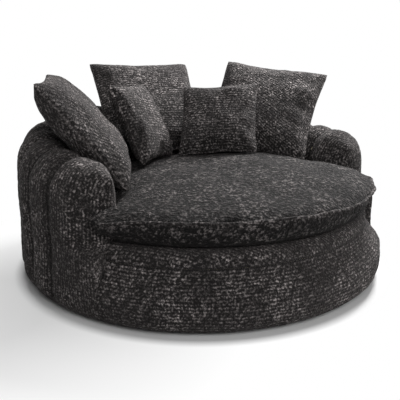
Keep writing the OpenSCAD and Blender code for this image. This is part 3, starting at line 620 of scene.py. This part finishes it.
def wrap_ends(m, rows, low):
    """Closes each arm's end: its skirt below, and a narrow strip above that the sections nearly close."""
    faces = []
    for first, flip in ((0, 1), ((m - 1) * rows, -1)):
        skirt = [first + rows - 1, first + rows - 2] + [first + i for i in range(low, -1, -1)]
        body = [first + rows - 2, first + rows - 3, first + rows - 4]
        strip = [first + i for i in range(rows - 5, low - 1, -1)]
        faces += [skirt[::-flip], (body + strip)[::-flip]]
    return faces


def wall_wrap():
    """The channelled wrap, in sections round the chair: up the outside, over the rim, down the inside to the
    deck, and back to the hem along the underside."""
    angles, shares = wrap_stations()
    signed = np.where(angles > 180, angles - 360, angles)[:, None]
    share = shares[:, None]
    crown_z = rim_h(signed) - RIM_ROLL
    t_out = np.linspace(0, 1, OUTER_ROWS)[None] ** 1.15
    z_out = COVER_LIFT + (crown_z - COVER_LIFT) * t_out
    t_rim = np.radians(np.linspace(0, 180, RIM_ROWS + 2)[None, 1:-1])
    z_in = DECK_Z - FOOT_DROP + (crown_z - DECK_Z + FOOT_DROP) * np.linspace(1, 0, INNER_ROWS)[None]
    zs = np.concatenate([z_out, crown_z + RIM_ROLL * np.sin(t_rim), z_in], 1)
    # The seams wander a little from the plumb line, and deepen where they cross the rim.
    wandering = 1.1 * ripples(signed / 17, zs / 0.14, 0, 11) * ease((zs - 0.03) / 0.1)
    seam = seam_share(signed + wandering, SEAM_POWER) * CHANNEL_DEPTH * (1.5 + 0.2 * ease((zs - 0.30) / 0.2))
    seam = seam * ease((zs - 0.012) / 0.05)

    def near_join(z):
        return ease((z - JOIN_Z) / JOIN_BLEND)

    k = 1 - (1 - share) * near_join(zs)
    rise = RIM_ROLL * (1 - NOSE_DROP * (1 - share))
    n_out, n_rim = OUTER_ROWS, RIM_ROWS
    r = np.empty_like(zs)
    z = zs.copy()
    outer = slice(0, n_out)
    r[:, outer] = (WALL_MID_R + (wall_r(np.minimum(zs, RAIL_Z)) - WALL_MID_R) * k - seam)[:, outer]
    over = slice(n_out, n_out + n_rim)
    pinch = np.where(np.cos(t_rim) < 0, RIM_PINCH, 1.0)
    r[:, over] = WALL_MID_R + WALL_HALF * k[:, over] * np.cos(t_rim) * (1 - pinch * seam[:, over] / WALL_HALF)
    z[:, over] = crown_z + (rise - seam[:, over]) * np.sin(t_rim)
    inner = slice(n_out + n_rim, None)
    r[:, inner] = (WALL_MID_R - WALL_HALF * k + INNER_SEAM * seam)[:, inner]
    # The underside: in to the skirt's inside, up it and out to the inner foot
    m = len(angles)
    under = np.array([[WALL_IN_R, FRAME_TOP], [SKIRT_IN_R, FRAME_TOP], [SKIRT_IN_R, COVER_LIFT + 0.004]])
    r = np.concatenate([r, np.broadcast_to(under[:, 0], (m, 3))], 1)
    z = np.concatenate([z, np.broadcast_to(under[:, 1], (m, 3))], 1)
    at_front = np.sign(signed) * (FRONT_ANGLE + (np.abs(signed) - FRONT_ANGLE) * near_join(z))
    where = np.where(np.abs(signed) < FRONT_ANGLE + 0.3, at_front, signed)
    points = polar(r, where, z)
    rows = r.shape[1]
    shown = slice(0, rows - 3)
    p = points[:, shown]
    centre = polar(WALL_MID_R, where[:, shown], 0)
    centre[..., 2] = np.minimum(z[:, shown], crown_z)
    out = p - centre
    out /= np.maximum(np.linalg.norm(out, axis=-1), 1e-6)[..., None]
    calm = ease((z[:, shown] - 0.02) / 0.04)
    depth = seam_share(signed, 1.0)
    # Short puckers run out of each seam.
    pucker = 0.0022 * depth ** 2 * lumps(p * [0.3, 0.3, 1], 0.028, 15)
    inside = np.where(np.arange(rows - 3) >= n_out + n_rim, 0.4, 1.0)[None]
    points[:, shown] = p + out * ((folds(p, WALL_FOLDS) + pucker) * calm * inside)[..., None]
    length = run_length(p[m // 2])
    s = np.concatenate([length, length[-1] + np.array([0.02, 0.16, 0.36])])
    across = np.radians(angles)[:, None] * CLOTH_R + 0 * z
    for start, step in ((NOSE_STATIONS - 1, -1), (m - NOSE_STATIONS, 1)):
        for i in range(1, NOSE_STATIONS):
            here = start + step * i
            gap = np.linalg.norm(points[here] - points[here - step], axis=-1)
            across[here] = across[here - step] + step * gap
    uv = np.stack([across, s[None].repeat(m, 0)], -1)
    faces = [f[::-1] for f in grid_faces(m, rows, close_columns=True)]
    faces += wrap_ends(m, rows, int(np.argmin(np.abs(z[0, :n_out] - JOIN_Z))))
    # Shade is painted dark along the channels' seams.
    crease_shade = np.zeros((m, rows))
    crease_shade[:, shown] = CHANNEL_SHADE * seam_share(signed + wandering, CHANNEL_SHADE_POWER) * ease((zs - 0.03) / 0.05)
    obj = new_mesh("wall_wrap", points.reshape(-1, 3), faces, uv.reshape(-1, 2), crease_shade.ravel())
    return fabric(obj, "chair", "back_wrap", fill=0.9, material=CHENILLE)


# Seat cushion

# How far the ears are pulled out, and how much further out and down the left one is
EAR_OUT, LEFT_EAR_OUT, LEFT_EAR_DROP = 0.016, 0.014, 0.013
# The front seam wavers with a slow and a quick wave, of so many degrees.
WAVER_PITCH, QUICK_PITCH = 7.5, 2.6
# The front seam's ridge: how far it stands out, and half its height at the foot
RIDGE_OUT, RIDGE_HALF_H = 0.0085, 0.0042
SEAT_RIB_TURN = 52
# How steeply the crown and the belly turn at the edge, and how the crown is fuller towards +X and the front
CROWN_POWER, BELLY_POWER = 0.7, 6
CROWN_TILT_X, CROWN_TILT_Y = 0.55, 0.5
# The outline's corners as angles: an ear's tip, the rear's start and the ear's place on the hub
EAR_ANGLE, REAR_ANGLE, EAR_HUB_ANGLE = FRONT_ANGLE + 0.9, FRONT_ANGLE + NOSE_DEPTH + 3.5, 55.0


def seam_z(x, y):
    """Height of the cushion's seam, which slopes down to the right and to the back."""
    return DECK_Z + SEAT_SEAM_H - SEAT_SLOPE * x - SEAT_PITCH * (y + SEAT_R)


def nose_at(r):
    """Angle at which the arms' rounded ends stand at radius r."""
    return FRONT_ANGLE + NOSE_DEPTH * np.abs((r - WALL_MID_R) / WALL_HALF) ** NOSE_POWER


def smooth_loop(points, count):
    """Points spread along a closed smooth curve through the given ones, by their index."""
    n = len(points)
    u = np.arange(count) * n / count
    i = np.floor(u).astype(int)
    f = (u - i)[:, None]
    a, b, c, d = (points[(i + k) % n] for k in (-1, 0, 1, 2))
    return b + 0.5 * f * (c - a + f * (2 * a - 5 * b + 4 * c - d + f * (3 * (b - c) + d - a)))


FRONT_STEPS, REAR_STEPS, HOLLOW_STEPS = 8, 11, 4
HUB_R = 0.300
ELBOW_IN = 0.040
ELBOW_SHARE, ELBOW_OUT = 0.8, 0.93


def seat_spokes(count):
    """The cushion's outline, elbows and hub points, spread round its edge."""
    hollow = np.linspace(SEAT_R - 0.037, SEAT_REAR_R + 0.036, HOLLOW_STEPS + 1)
    outline = [(SEAT_R, i * EAR_ANGLE / FRONT_STEPS) for i in range(FRONT_STEPS + 1)]
    outline += [(SEAT_R - 0.004, EAR_ANGLE + 1.2), (SEAT_R - 0.014, EAR_ANGLE + 1.7)]
    outline += [(r, nose_at(r) - math.degrees(EAR_GAP / r)) for r in hollow]
    outline += [(SEAT_REAR_R + 0.002, REAR_ANGLE - 4)]
    rear_i = len(outline)
    outline += [(SEAT_REAR_R, REAR_ANGLE + i * (180 - REAR_ANGLE) / REAR_STEPS) for i in range(REAR_STEPS + 1)]
    ear_elbow = EAR_ANGLE - 3.4
    elbows, hubs = [], []
    for i, (r, a) in enumerate(outline):
        if i <= FRONT_STEPS:
            elbow_a, hub_a = i * ear_elbow / FRONT_STEPS, i * EAR_HUB_ANGLE / FRONT_STEPS
        elif i < rear_i:
            elbow_a = ear_elbow + 0.4 * (i - FRONT_STEPS) if i <= FRONT_STEPS + 3 else a - 1.4
            hub_a = EAR_HUB_ANGLE + (i - FRONT_STEPS) * (REAR_ANGLE - EAR_HUB_ANGLE) / (rear_i - FRONT_STEPS)
        else:
            elbow_a = hub_a = a
        inset = ELBOW_IN - 0.015 if FRONT_STEPS + 2 < i < rear_i else ELBOW_IN
        elbows.append((r - inset, elbow_a))
        hubs.append((HUB_R, hub_a))

    def loop(half):
        flat = np.array([polar(r, a, 0) for r, a in half])
        mirrored = flat[-2:0:-1] * [-1, 1, 1]
        return smooth_loop(np.concatenate([flat, mirrored]), count)

    return loop(outline), loop(elbows), loop(hubs)


def spread(loops, shares):
    """Rings of points between the middle, the hub circle, the elbows and the outline."""
    outline, elbows, hubs = loops
    rings = []
    for s in shares:
        if s <= 0.5:
            rings.append(hubs * 2 * s)
        elif s <= ELBOW_SHARE:
            rings.append(hubs + (elbows - hubs) * (s - 0.5) / (ELBOW_SHARE - 0.5))
        else:
            rings.append(elbows + (outline - elbows) * (s - ELBOW_SHARE) / (1 - ELBOW_SHARE))
    return np.array(rings)


def crown_top(p, out):
    """Height of the crown, where out is 0 in the middle and 1 at the seam."""
    x, y = p[..., 0], p[..., 1]
    tilt = 1 + (CROWN_TILT_X * x - CROWN_TILT_Y * y) / SEAT_R
    return seam_z(x, y) + SEAT_CROWN * (1 - out ** 2) ** CROWN_POWER * tilt


def belly_low(p, out):
    """Height of the belly, which lies flat on the deck inside its rounded edge."""
    low = seam_z(p[..., 0], p[..., 1]) - SEAT_BELLY * np.sqrt(np.maximum(0, 1 - out ** BELLY_POWER))
    return np.maximum(BELLY_Z, low)


def seat_cushion():
    """The seat cushion's cover: rings of the crown from the middle out, the seam's ridge and the belly's rings."""
    count = 448
    loops = seat_spokes(count)
    top_shares = np.concatenate([np.linspace(0.04, 0.5, 14), np.linspace(0.5, ELBOW_SHARE, 12)[1:],
                                 1 - 0.2 * np.linspace(1, 0.06, 16)[1:] ** 1.5])
    low_shares = 1 - 0.98 * np.linspace(0.03, 1, 26) ** 1.6
    bends = [0, 0.5, ELBOW_SHARE, 1], [0, 0.5, ELBOW_OUT, 1]
    top = spread(loops, top_shares)
    top[..., 2] = crown_top(top, np.interp(top_shares, *bends)[:, None])
    low = spread(loops, low_shares)
    low[..., 2] = belly_low(low, np.interp(low_shares, *bends)[:, None])
    seam = loops[0].copy()
    seam[:, 2] = seam_z(seam[:, 0], seam[:, 1])
    angle = np.degrees(np.arctan2(seam[:, 0], -seam[:, 1]))
    front = ease((FRONT_ANGLE + 1.5 - np.abs(angle)) / 4)
    waver = ripples(angle / WAVER_PITCH, 0, 0, 21)
    quick_waver = ripples(angle / QUICK_PITCH, 0, 0, 22)
    edge_out = seam * [1, 1, 0] / np.linalg.norm(seam[:, :2], axis=1)[:, None]
    # The ears are pulled out of the corners, and the left one hangs lower.
    ears = np.exp(-((np.abs(angle) - FRONT_ANGLE + 1.5) / 6.5) ** 2)
    left_ear = ears * (angle < 0)
    shift = front * (0.0055 * waver + 0.0028 * quick_waver) + EAR_OUT * ears + LEFT_EAR_OUT * left_ear
    lift = front * (0.0050 * np.roll(waver, 40) + 0.0020 * np.roll(quick_waver, 9)) - LEFT_EAR_DROP * left_ear

    def near_edge(shares, reach):
        """How strongly a ring follows the seam's waver."""
        return np.clip(1 - (1 - shares) / reach, 0, 1)[:, None] ** 2

    for rings, shares in ((top, top_shares), (low, low_shares)):
        follow = near_edge(shares, 0.2)
        rings += edge_out[None] * (shift * follow)[..., None]
        rings[..., 2] += lift * follow
    seam += edge_out * shift[:, None]
    seam[:, 2] += lift
    # The seam stands out as a soft ridge along the front.
    ridge = [seam + edge_out * (0.0008 + RIDGE_OUT * front * step)[:, None] + [0, 0, rise * RIDGE_HALF_H]
             for step, rise in ((0.10, 1.0), (0.80, 0.85), (1.0, 0.0), (0.80, -0.85), (0.10, -1.0))]
    rings = np.concatenate([top, np.array(ridge), low])
    n_top = len(top)
    # Soft hollows and puckers on the crown and the belly
    fade = np.concatenate([np.interp(top_shares, [0, 0.9, 1], [1, 1, 0.15]), np.zeros(5),
                           np.interp(low_shares, [0, 0.8, 0.95, 1], [0, 0, 1, 0.15])])[:, None]
    edge = np.concatenate([near_edge(top_shares, 0.28) * (1 - near_edge(top_shares, 0.03)),
                           np.zeros((5, 1)), near_edge(low_shares, 0.2)])
    pleats = ripples(angle / 2.3, 0, np.arange(len(rings))[:, None] / 40, 23)
    wave = folds(rings, SEAT_FOLDS) * fade + 0.0040 * pleats * edge * front[None]
    rings[:n_top, :, 2] += wave[:n_top]
    below = wave[n_top + 5:]
    rings[n_top + 5:] += edge_out[None] * below[..., None]
    rings[..., 2] = np.maximum(rings[..., 2], BELLY_Z)
    flat = rings.reshape(-1, 3)
    m = len(rings)
    points = np.concatenate([flat, [[0, 0, rings[0, :, 2].mean()], [0, 0, BELLY_Z]]])
    faces = [f[::-1] for f in grid_faces(m, count, close_columns=True)]
    last = (m - 1) * count
    for i in range(count):
        nxt = (i + 1) % count
        faces.append([m * count, i, nxt])
        faces.append([m * count + 1, last + nxt, last + i])
    side = (points[:, 2] - seam_z(points[:, 0], points[:, 1])) * np.where(points[:, 2] < 0.35, 1.0, 0.2)
    uv = laid(points[:, 0], points[:, 1] + side, SEAT_RIB_TURN)
    painted_light = np.zeros((m, count))
    # Painted highlight along the seam's ridge and faintly beside it, and painted shade on the belly's lowest rings
    # above the deck.
    painted_light[n_top:n_top + 5] = front
    painted_light[[n_top - 1, n_top + 5]] = 0.35 * front
    painted_light[n_top + 6:] = BELLY_SHADE * ease((DECK_Z + 0.028 - rings[n_top + 6:, :, 2]) / 0.022)
    obj = new_mesh("seat_cushion_cover", points, faces, uv, np.append(painted_light.ravel(), [0, 0]))
    return fabric(obj, "seat_cushion", "seat_cover", fill=0.8, material=SHADED_SEAT_CHENILLE)


# Pillows

PANEL_CELLS = 46
PANEL_POWER = 2.6
CORNER_BLUNT = 0.032


def pillow_panels(side, half_t, flatness):
    """Two square panels that share their rim, as points, faces and the place of each point on its panel."""
    n = PANEL_CELLS
    g = np.sin(np.radians(90 * (2 * np.arange(n + 1) / n - 1)) * 0.985)
    g = g / g[-1]
    s, t = np.meshgrid(g, g)
    half = side / 2
    body = np.sqrt(np.maximum(0, (1 - np.abs(s) ** PANEL_POWER) * (1 - np.abs(t) ** PANEL_POWER)))
    x = half * s * (1 - DRAW_IN * (1 - t ** 2))
    z = half * t * (1 - DRAW_IN * (1 - s ** 2))
    # The corners are rounded, and the sewn edge is as thick as the pile on both panels.
    blunt = 1 - CORNER_BLUNT * np.abs(s * t) ** 8
    x, z = x * blunt, z * blunt
    front = np.stack([x, -half_t * flatness * body, z], -1).reshape(-1, 3)
    back = np.stack([x, half_t * flatness * body, z], -1)[1:-1, 1:-1].reshape(-1, 3)
    across = np.stack([s, t], -1) * half
    uv = np.concatenate([across.reshape(-1, 2), across[1:-1, 1:-1].reshape(-1, 2) + 2 * side])

    def f(i, j):
        return j * (n + 1) + i

    def b(i, j):
        rim = i in (0, n) or j in (0, n)
        return f(i, j) if rim else (n + 1) ** 2 + (j - 1) * (n - 1) + i - 1

    faces = []
    for j in range(n):
        for i in range(n):
            faces.append([f(i, j), f(i + 1, j), f(i + 1, j + 1), f(i, j + 1)])
            faces.append([b(i, j), b(i, j + 1), b(i + 1, j + 1), b(i + 1, j)])
    return np.concatenate([front, back]), faces, uv


def stuffed(obj, frames, pressure, most):
    """Blows the sewn panels up as cloth, with no gravity. No point moves further than most."""
    scene = bpy.context.scene
    before = points_of(obj)
    cloth = obj.modifiers.new("stuffing", "CLOTH")
    cloth.settings.quality = 5
    cloth.settings.mass = 0.25
    cloth.settings.tension_stiffness = 20
    cloth.settings.compression_stiffness = 10
    cloth.settings.shear_stiffness = 5
    cloth.settings.bending_stiffness = 0.3
    cloth.settings.use_pressure = True
    cloth.settings.uniform_pressure_force = pressure
    cloth.settings.effector_weights.gravity = 0
    cloth.point_cache.frame_start = 1
    cloth.point_cache.frame_end = frames
    for k in range(1, frames + 1):
        scene.frame_set(k)
    shape = bpy.data.meshes.new_from_object(obj.evaluated_get(bpy.context.evaluated_depsgraph_get()))
    obj.modifiers.clear()
    obj.data = shape
    scene.frame_set(1)
    move = points_of(obj) - before
    far = np.linalg.norm(move, axis=1)[:, None]
    set_points(obj, before + move * np.minimum(1, most / np.maximum(far, 1e-9)))


def placed(centre, turns):
    """The matrix that takes a pillow from its own axes, front towards -Y, to its place on the chair."""
    yaw, lean, roll = turns
    return (Matrix.Translation(centre) @ Matrix.Rotation(math.radians(yaw), 4, "Z")
            @ Matrix.Rotation(math.radians(-lean), 4, "X") @ Matrix.Rotation(math.radians(-roll), 4, "Y"))


def fitted(points, side, half_t):
    """Scales a stuffed shape to the pillow's size and thickness."""
    corner = np.abs(points[:, [0, 2]]).max()
    thick = np.abs(points[:, 1]).max()
    return points * [side / 2 / corner, half_t / thick, side / 2 / corner]


# For each pillow: how far it sinks into what it lies on, how wrinkled it is, and the turn of its ribs in degrees
SINK = {"left": 0.002, "back": 0.002, "right": 0.003, "small_left": 0.004, "small_centre": 0.002}
WRINKLES = {"left": 0.7, "back": 0.8, "right": 1.5, "small_left": 0.8, "small_centre": 0.5}
RIB_TURN = {"left": 28, "back": 90, "right": 60, "small_left": 80, "small_centre": 90}
FILLING_SHARE = 0.9
PANEL_FLATNESS = 0.86
# The stuffing's frames and pressure, and how far it may move a point as a share of the pillow's side
STUFFING_FRAMES, STUFFING_PRESSURE, STUFFING_SHARE = 20, 4.0, 0.035
FULLER_BELOW = 0.09
WRINKLE_H, EDGE_WAVE_H = 0.013, 0.006
PILLOW_GAP = 0.0012


def pillow_case(name, seed):
    """A pillow's cover and its points in its own axes: two stuffed panels with wrinkles."""
    side, half_t, _, _ = PILLOWS[name]
    points, faces, uv = pillow_panels(side, half_t, PANEL_FLATNESS)
    uv = laid(uv[:, 0], uv[:, 1], RIB_TURN[name])
    crumple = lumps(points * [1, 0.2, 1], side / 7, seed)[:, None] * [0, 0.005, 0]
    # The sewn edge gets a painted highlight.
    rim = np.abs(points[:, 1]) < 0.004
    obj = new_mesh(name + "_pillow_case", points + crumple, faces, uv, 0.8 * rim)
    stuffed(obj, STUFFING_FRAMES, STUFFING_PRESSURE, side * STUFFING_SHARE)
    set_points(obj, fitted(points_of(obj), side, half_t))
    applied(obj, ("SUBSURF", {"levels": 1, "render_levels": 1}))
    p = points_of(obj)
    s, t = p[:, 0] / (side / 2), p[:, 2] / (side / 2)
    body = np.clip(np.abs(p[:, 1]) / half_t, 0, 1)
    face = np.sign(p[:, 1])
    # Wrinkles run in from the middle of each side, and the filling is a little lumpy.
    near_x, near_z = np.clip(np.abs(s) - 0.35, 0, 1), np.clip(np.abs(t) - 0.35, 0, 1)
    ripple_x = ripples(s * 0.8, face, t * 8, seed + 1) * near_x * (1 - t ** 2)
    ripple_z = ripples(s * 8, face, t * 0.8, seed + 2) * near_z * (1 - s ** 2)
    lumpy = 0.0060 * lumps(p, side / 4, seed + 3) + 0.0014 * lumps(p, 0.010, seed + 4)
    p[:, 1] += face * ((ripple_x + ripple_z) * WRINKLE_H * WRINKLES[name] * np.sqrt(body) + lumpy * body)
    # The filling has sunk: the lower half is fuller than the upper one.
    p[:, 1] *= 1 - FULLER_BELOW * t
    # The edges wave a little between the corners.
    edge = (1 - body) ** 2
    p[:, 1] += edge * EDGE_WAVE_H * ripples(s * 1.6, 0, t * 1.6, seed + 5)
    return obj, p


def pillow(name, neighbours, seed):
    """A pillow at its place, clear of its neighbours, with the filling that stands for its insert."""
    centre, turns = PILLOWS[name][2:]
    obj, p = pillow_case(name, seed)
    world = np.array(placed(centre, turns))
    q = p @ world[:3, :3].T + world[:3, 3]
    q[:, 2] -= SINK[name]
    q = keep_clear(q, neighbours, PILLOW_GAP)
    set_points(obj, q)
    body_name = name + "_pillow"
    filling = obj.copy()
    filling.data = obj.data.copy()
    filling.name = body_name + "_filling"
    bpy.context.scene.collection.objects.link(filling)
    middle = np.array(centre)
    set_points(filling, middle + (q - middle) * FILLING_SHARE)
    filling.data.materials.clear()
    filling.data.materials.append(FINISHES["fibre"])
    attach(filling, body_name)
    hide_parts(body_name + "_insert")
    return fabric(obj, body_name, body_name + "_cover", fill=0.6, material=CHENILLE)


band = front_band()
deck = deck_roll()
wrap = wall_wrap()
seat = seat_cushion()
trees = {"wrap": tree_of(wrap), "seat": tree_of(seat)}
for index, (name, after) in enumerate({"left": (), "back": (), "right": (), "small_left": ("left", "back"),
                                       "small_centre": ("right",)}.items()):
    made = pillow(name, [trees[k] for k in ("wrap", "seat") + after], 31 + 10 * index)
    trees[name] = tree_of(made)


# Stage, lights and camera

WHITE = (1, 1, 1, 1)
WORLD_LIGHT = 0.16
FLOOR_SIDE = 40
# The floor glows white from this radius outwards, at this slope.
GLOW_R, GLOW_SLOPE = 0.692, 24.0
# Round this spot beside the chair it glows less, and the shadow stays. The glow grows back outside this radius.
SHADOW_SPOT, SHADOW_R, SHADOW_SLOPE, SHADOW_GLOW = (-0.90, 0.02, 0), 0.25, 1.5, 0.40


def plain_floor():
    """A pale floor that goes over into the white background away from the chair and keeps its shadow near it."""
    mesh = bpy.data.meshes.new("floor")
    corners = [(x * FLOOR_SIDE, y * FLOOR_SIDE, 0) for x, y in ((-1, -1), (1, -1), (1, 1), (-1, 1))]
    mesh.from_pydata(corners, [], [(0, 1, 2, 3)])
    floor = bpy.data.objects.new("floor", mesh)
    bpy.context.scene.collection.objects.link(floor)
    s = Shader("white_floor", Roughness=0.8, Specular_IOR_Level=0.1)
    where = s.place()
    s.feed(s.surface.inputs["Base Color"], s.mix(s.noise(where, 3.0), grey(0.62, 0), grey(0.64, 0)))
    glow = s.node("ShaderNodeEmission", None, {"Color": WHITE, "Strength": 1.0})
    away = s.number("ShaderNodeVectorMath", "Value", {"operation": "LENGTH"}, {0: where})
    aside = s.number("ShaderNodeVectorMath", "Value", {"operation": "DISTANCE"}, {0: where, 1: SHADOW_SPOT})
    lit_again = ((aside - SHADOW_R) * SHADOW_SLOPE).clamped() * (1 - SHADOW_GLOW)
    share = s.seen() * ((away - GLOW_R) * GLOW_SLOPE).clamped() * (SHADOW_GLOW + lit_again)
    blend = s.node("ShaderNodeMixShader", None, {0: share, 1: s.surface.outputs[0], 2: glow.outputs[0]})
    s.tree.links.new(blend.outputs[0], s.tree.nodes["Material Output"].inputs[0])
    mesh.materials.append(s.material)


def white_world():
    """White where it is seen, and a dim even light for everything else."""
    world = bpy.data.worlds.new("studio")
    bpy.context.scene.world = world
    world.use_nodes = True
    w = Nodes(world.node_tree)
    lit = w.tree.nodes["Background"]
    w.feed(lit.inputs["Color"], WHITE)
    w.feed(lit.inputs["Strength"], WORLD_LIGHT)
    shown = w.node("ShaderNodeBackground", None, {"Color": WHITE, "Strength": 1.0})
    blend = w.node("ShaderNodeMixShader", None, {0: w.seen(), 1: lit.outputs[0], 2: shown.outputs[0]})
    w.tree.links.new(blend.outputs[0], w.tree.nodes["World Output"].inputs[0])


def softbox(name, place, aim, size, power):
    """A rectangular lamp at a place, aimed at a point."""
    light = bpy.data.lights.new(name, "AREA")
    light.shape = "RECTANGLE"
    light.size, light.size_y = size
    light.energy = power
    obj = bpy.data.objects.new(name, light)
    obj.location = place
    obj.rotation_euler = (Vector(aim) - Vector(place)).to_track_quat("-Z", "Y").to_euler()
    bpy.context.scene.collection.objects.link(obj)


# The camera fitted to the photograph. The picture's centre and the focal length are in pixels.
CAMERA_TARGET = Vector((0, 0, 0.2439))
CAMERA_DISTANCE = 2.6
CAMERA_AZIMUTH = math.radians(-33.5)
CAMERA_ELEVATION = math.radians(16.54)
FOCAL_PIXELS = 655.1
IMAGE_PIXELS = 400
IMAGE_CENTRE = (200.8, 200.0)
SENSOR = 36.0


def photo_camera():
    camera = bpy.data.objects.new("camera", bpy.data.cameras.new("camera"))
    bpy.context.scene.collection.objects.link(camera)
    back = Vector((math.sin(CAMERA_AZIMUTH) * math.cos(CAMERA_ELEVATION),
                   -math.cos(CAMERA_AZIMUTH) * math.cos(CAMERA_ELEVATION), math.sin(CAMERA_ELEVATION)))
    camera.location = CAMERA_TARGET + back * CAMERA_DISTANCE
    camera.rotation_mode = "QUATERNION"
    camera.rotation_quaternion = (-back).to_track_quat("-Z", "Y")
    camera.data.sensor_width = SENSOR
    camera.data.lens = FOCAL_PIXELS / IMAGE_PIXELS * SENSOR
    camera.data.shift_x = (IMAGE_PIXELS / 2 - IMAGE_CENTRE[0]) / IMAGE_PIXELS
    camera.data.shift_y = (IMAGE_CENTRE[1] - IMAGE_PIXELS / 2) / IMAGE_PIXELS
    bpy.context.scene.camera = camera


plain_floor()
white_world()
softbox("key", (2.2, 0.8, 2.5), (0.1, 0, 0.35), (1.2, 1.2), 285)
softbox("fill", (-1.0, -3.2, 2.2), (0, -0.2, 0.3), (2.2, 1.6), 84)
softbox("top", (0.2, 0.9, 3.3), (0, 0, 0.3), (2.2, 2.0), 46)
photo_camera()
bpy.context.scene.view_settings.view_transform = "Standard"
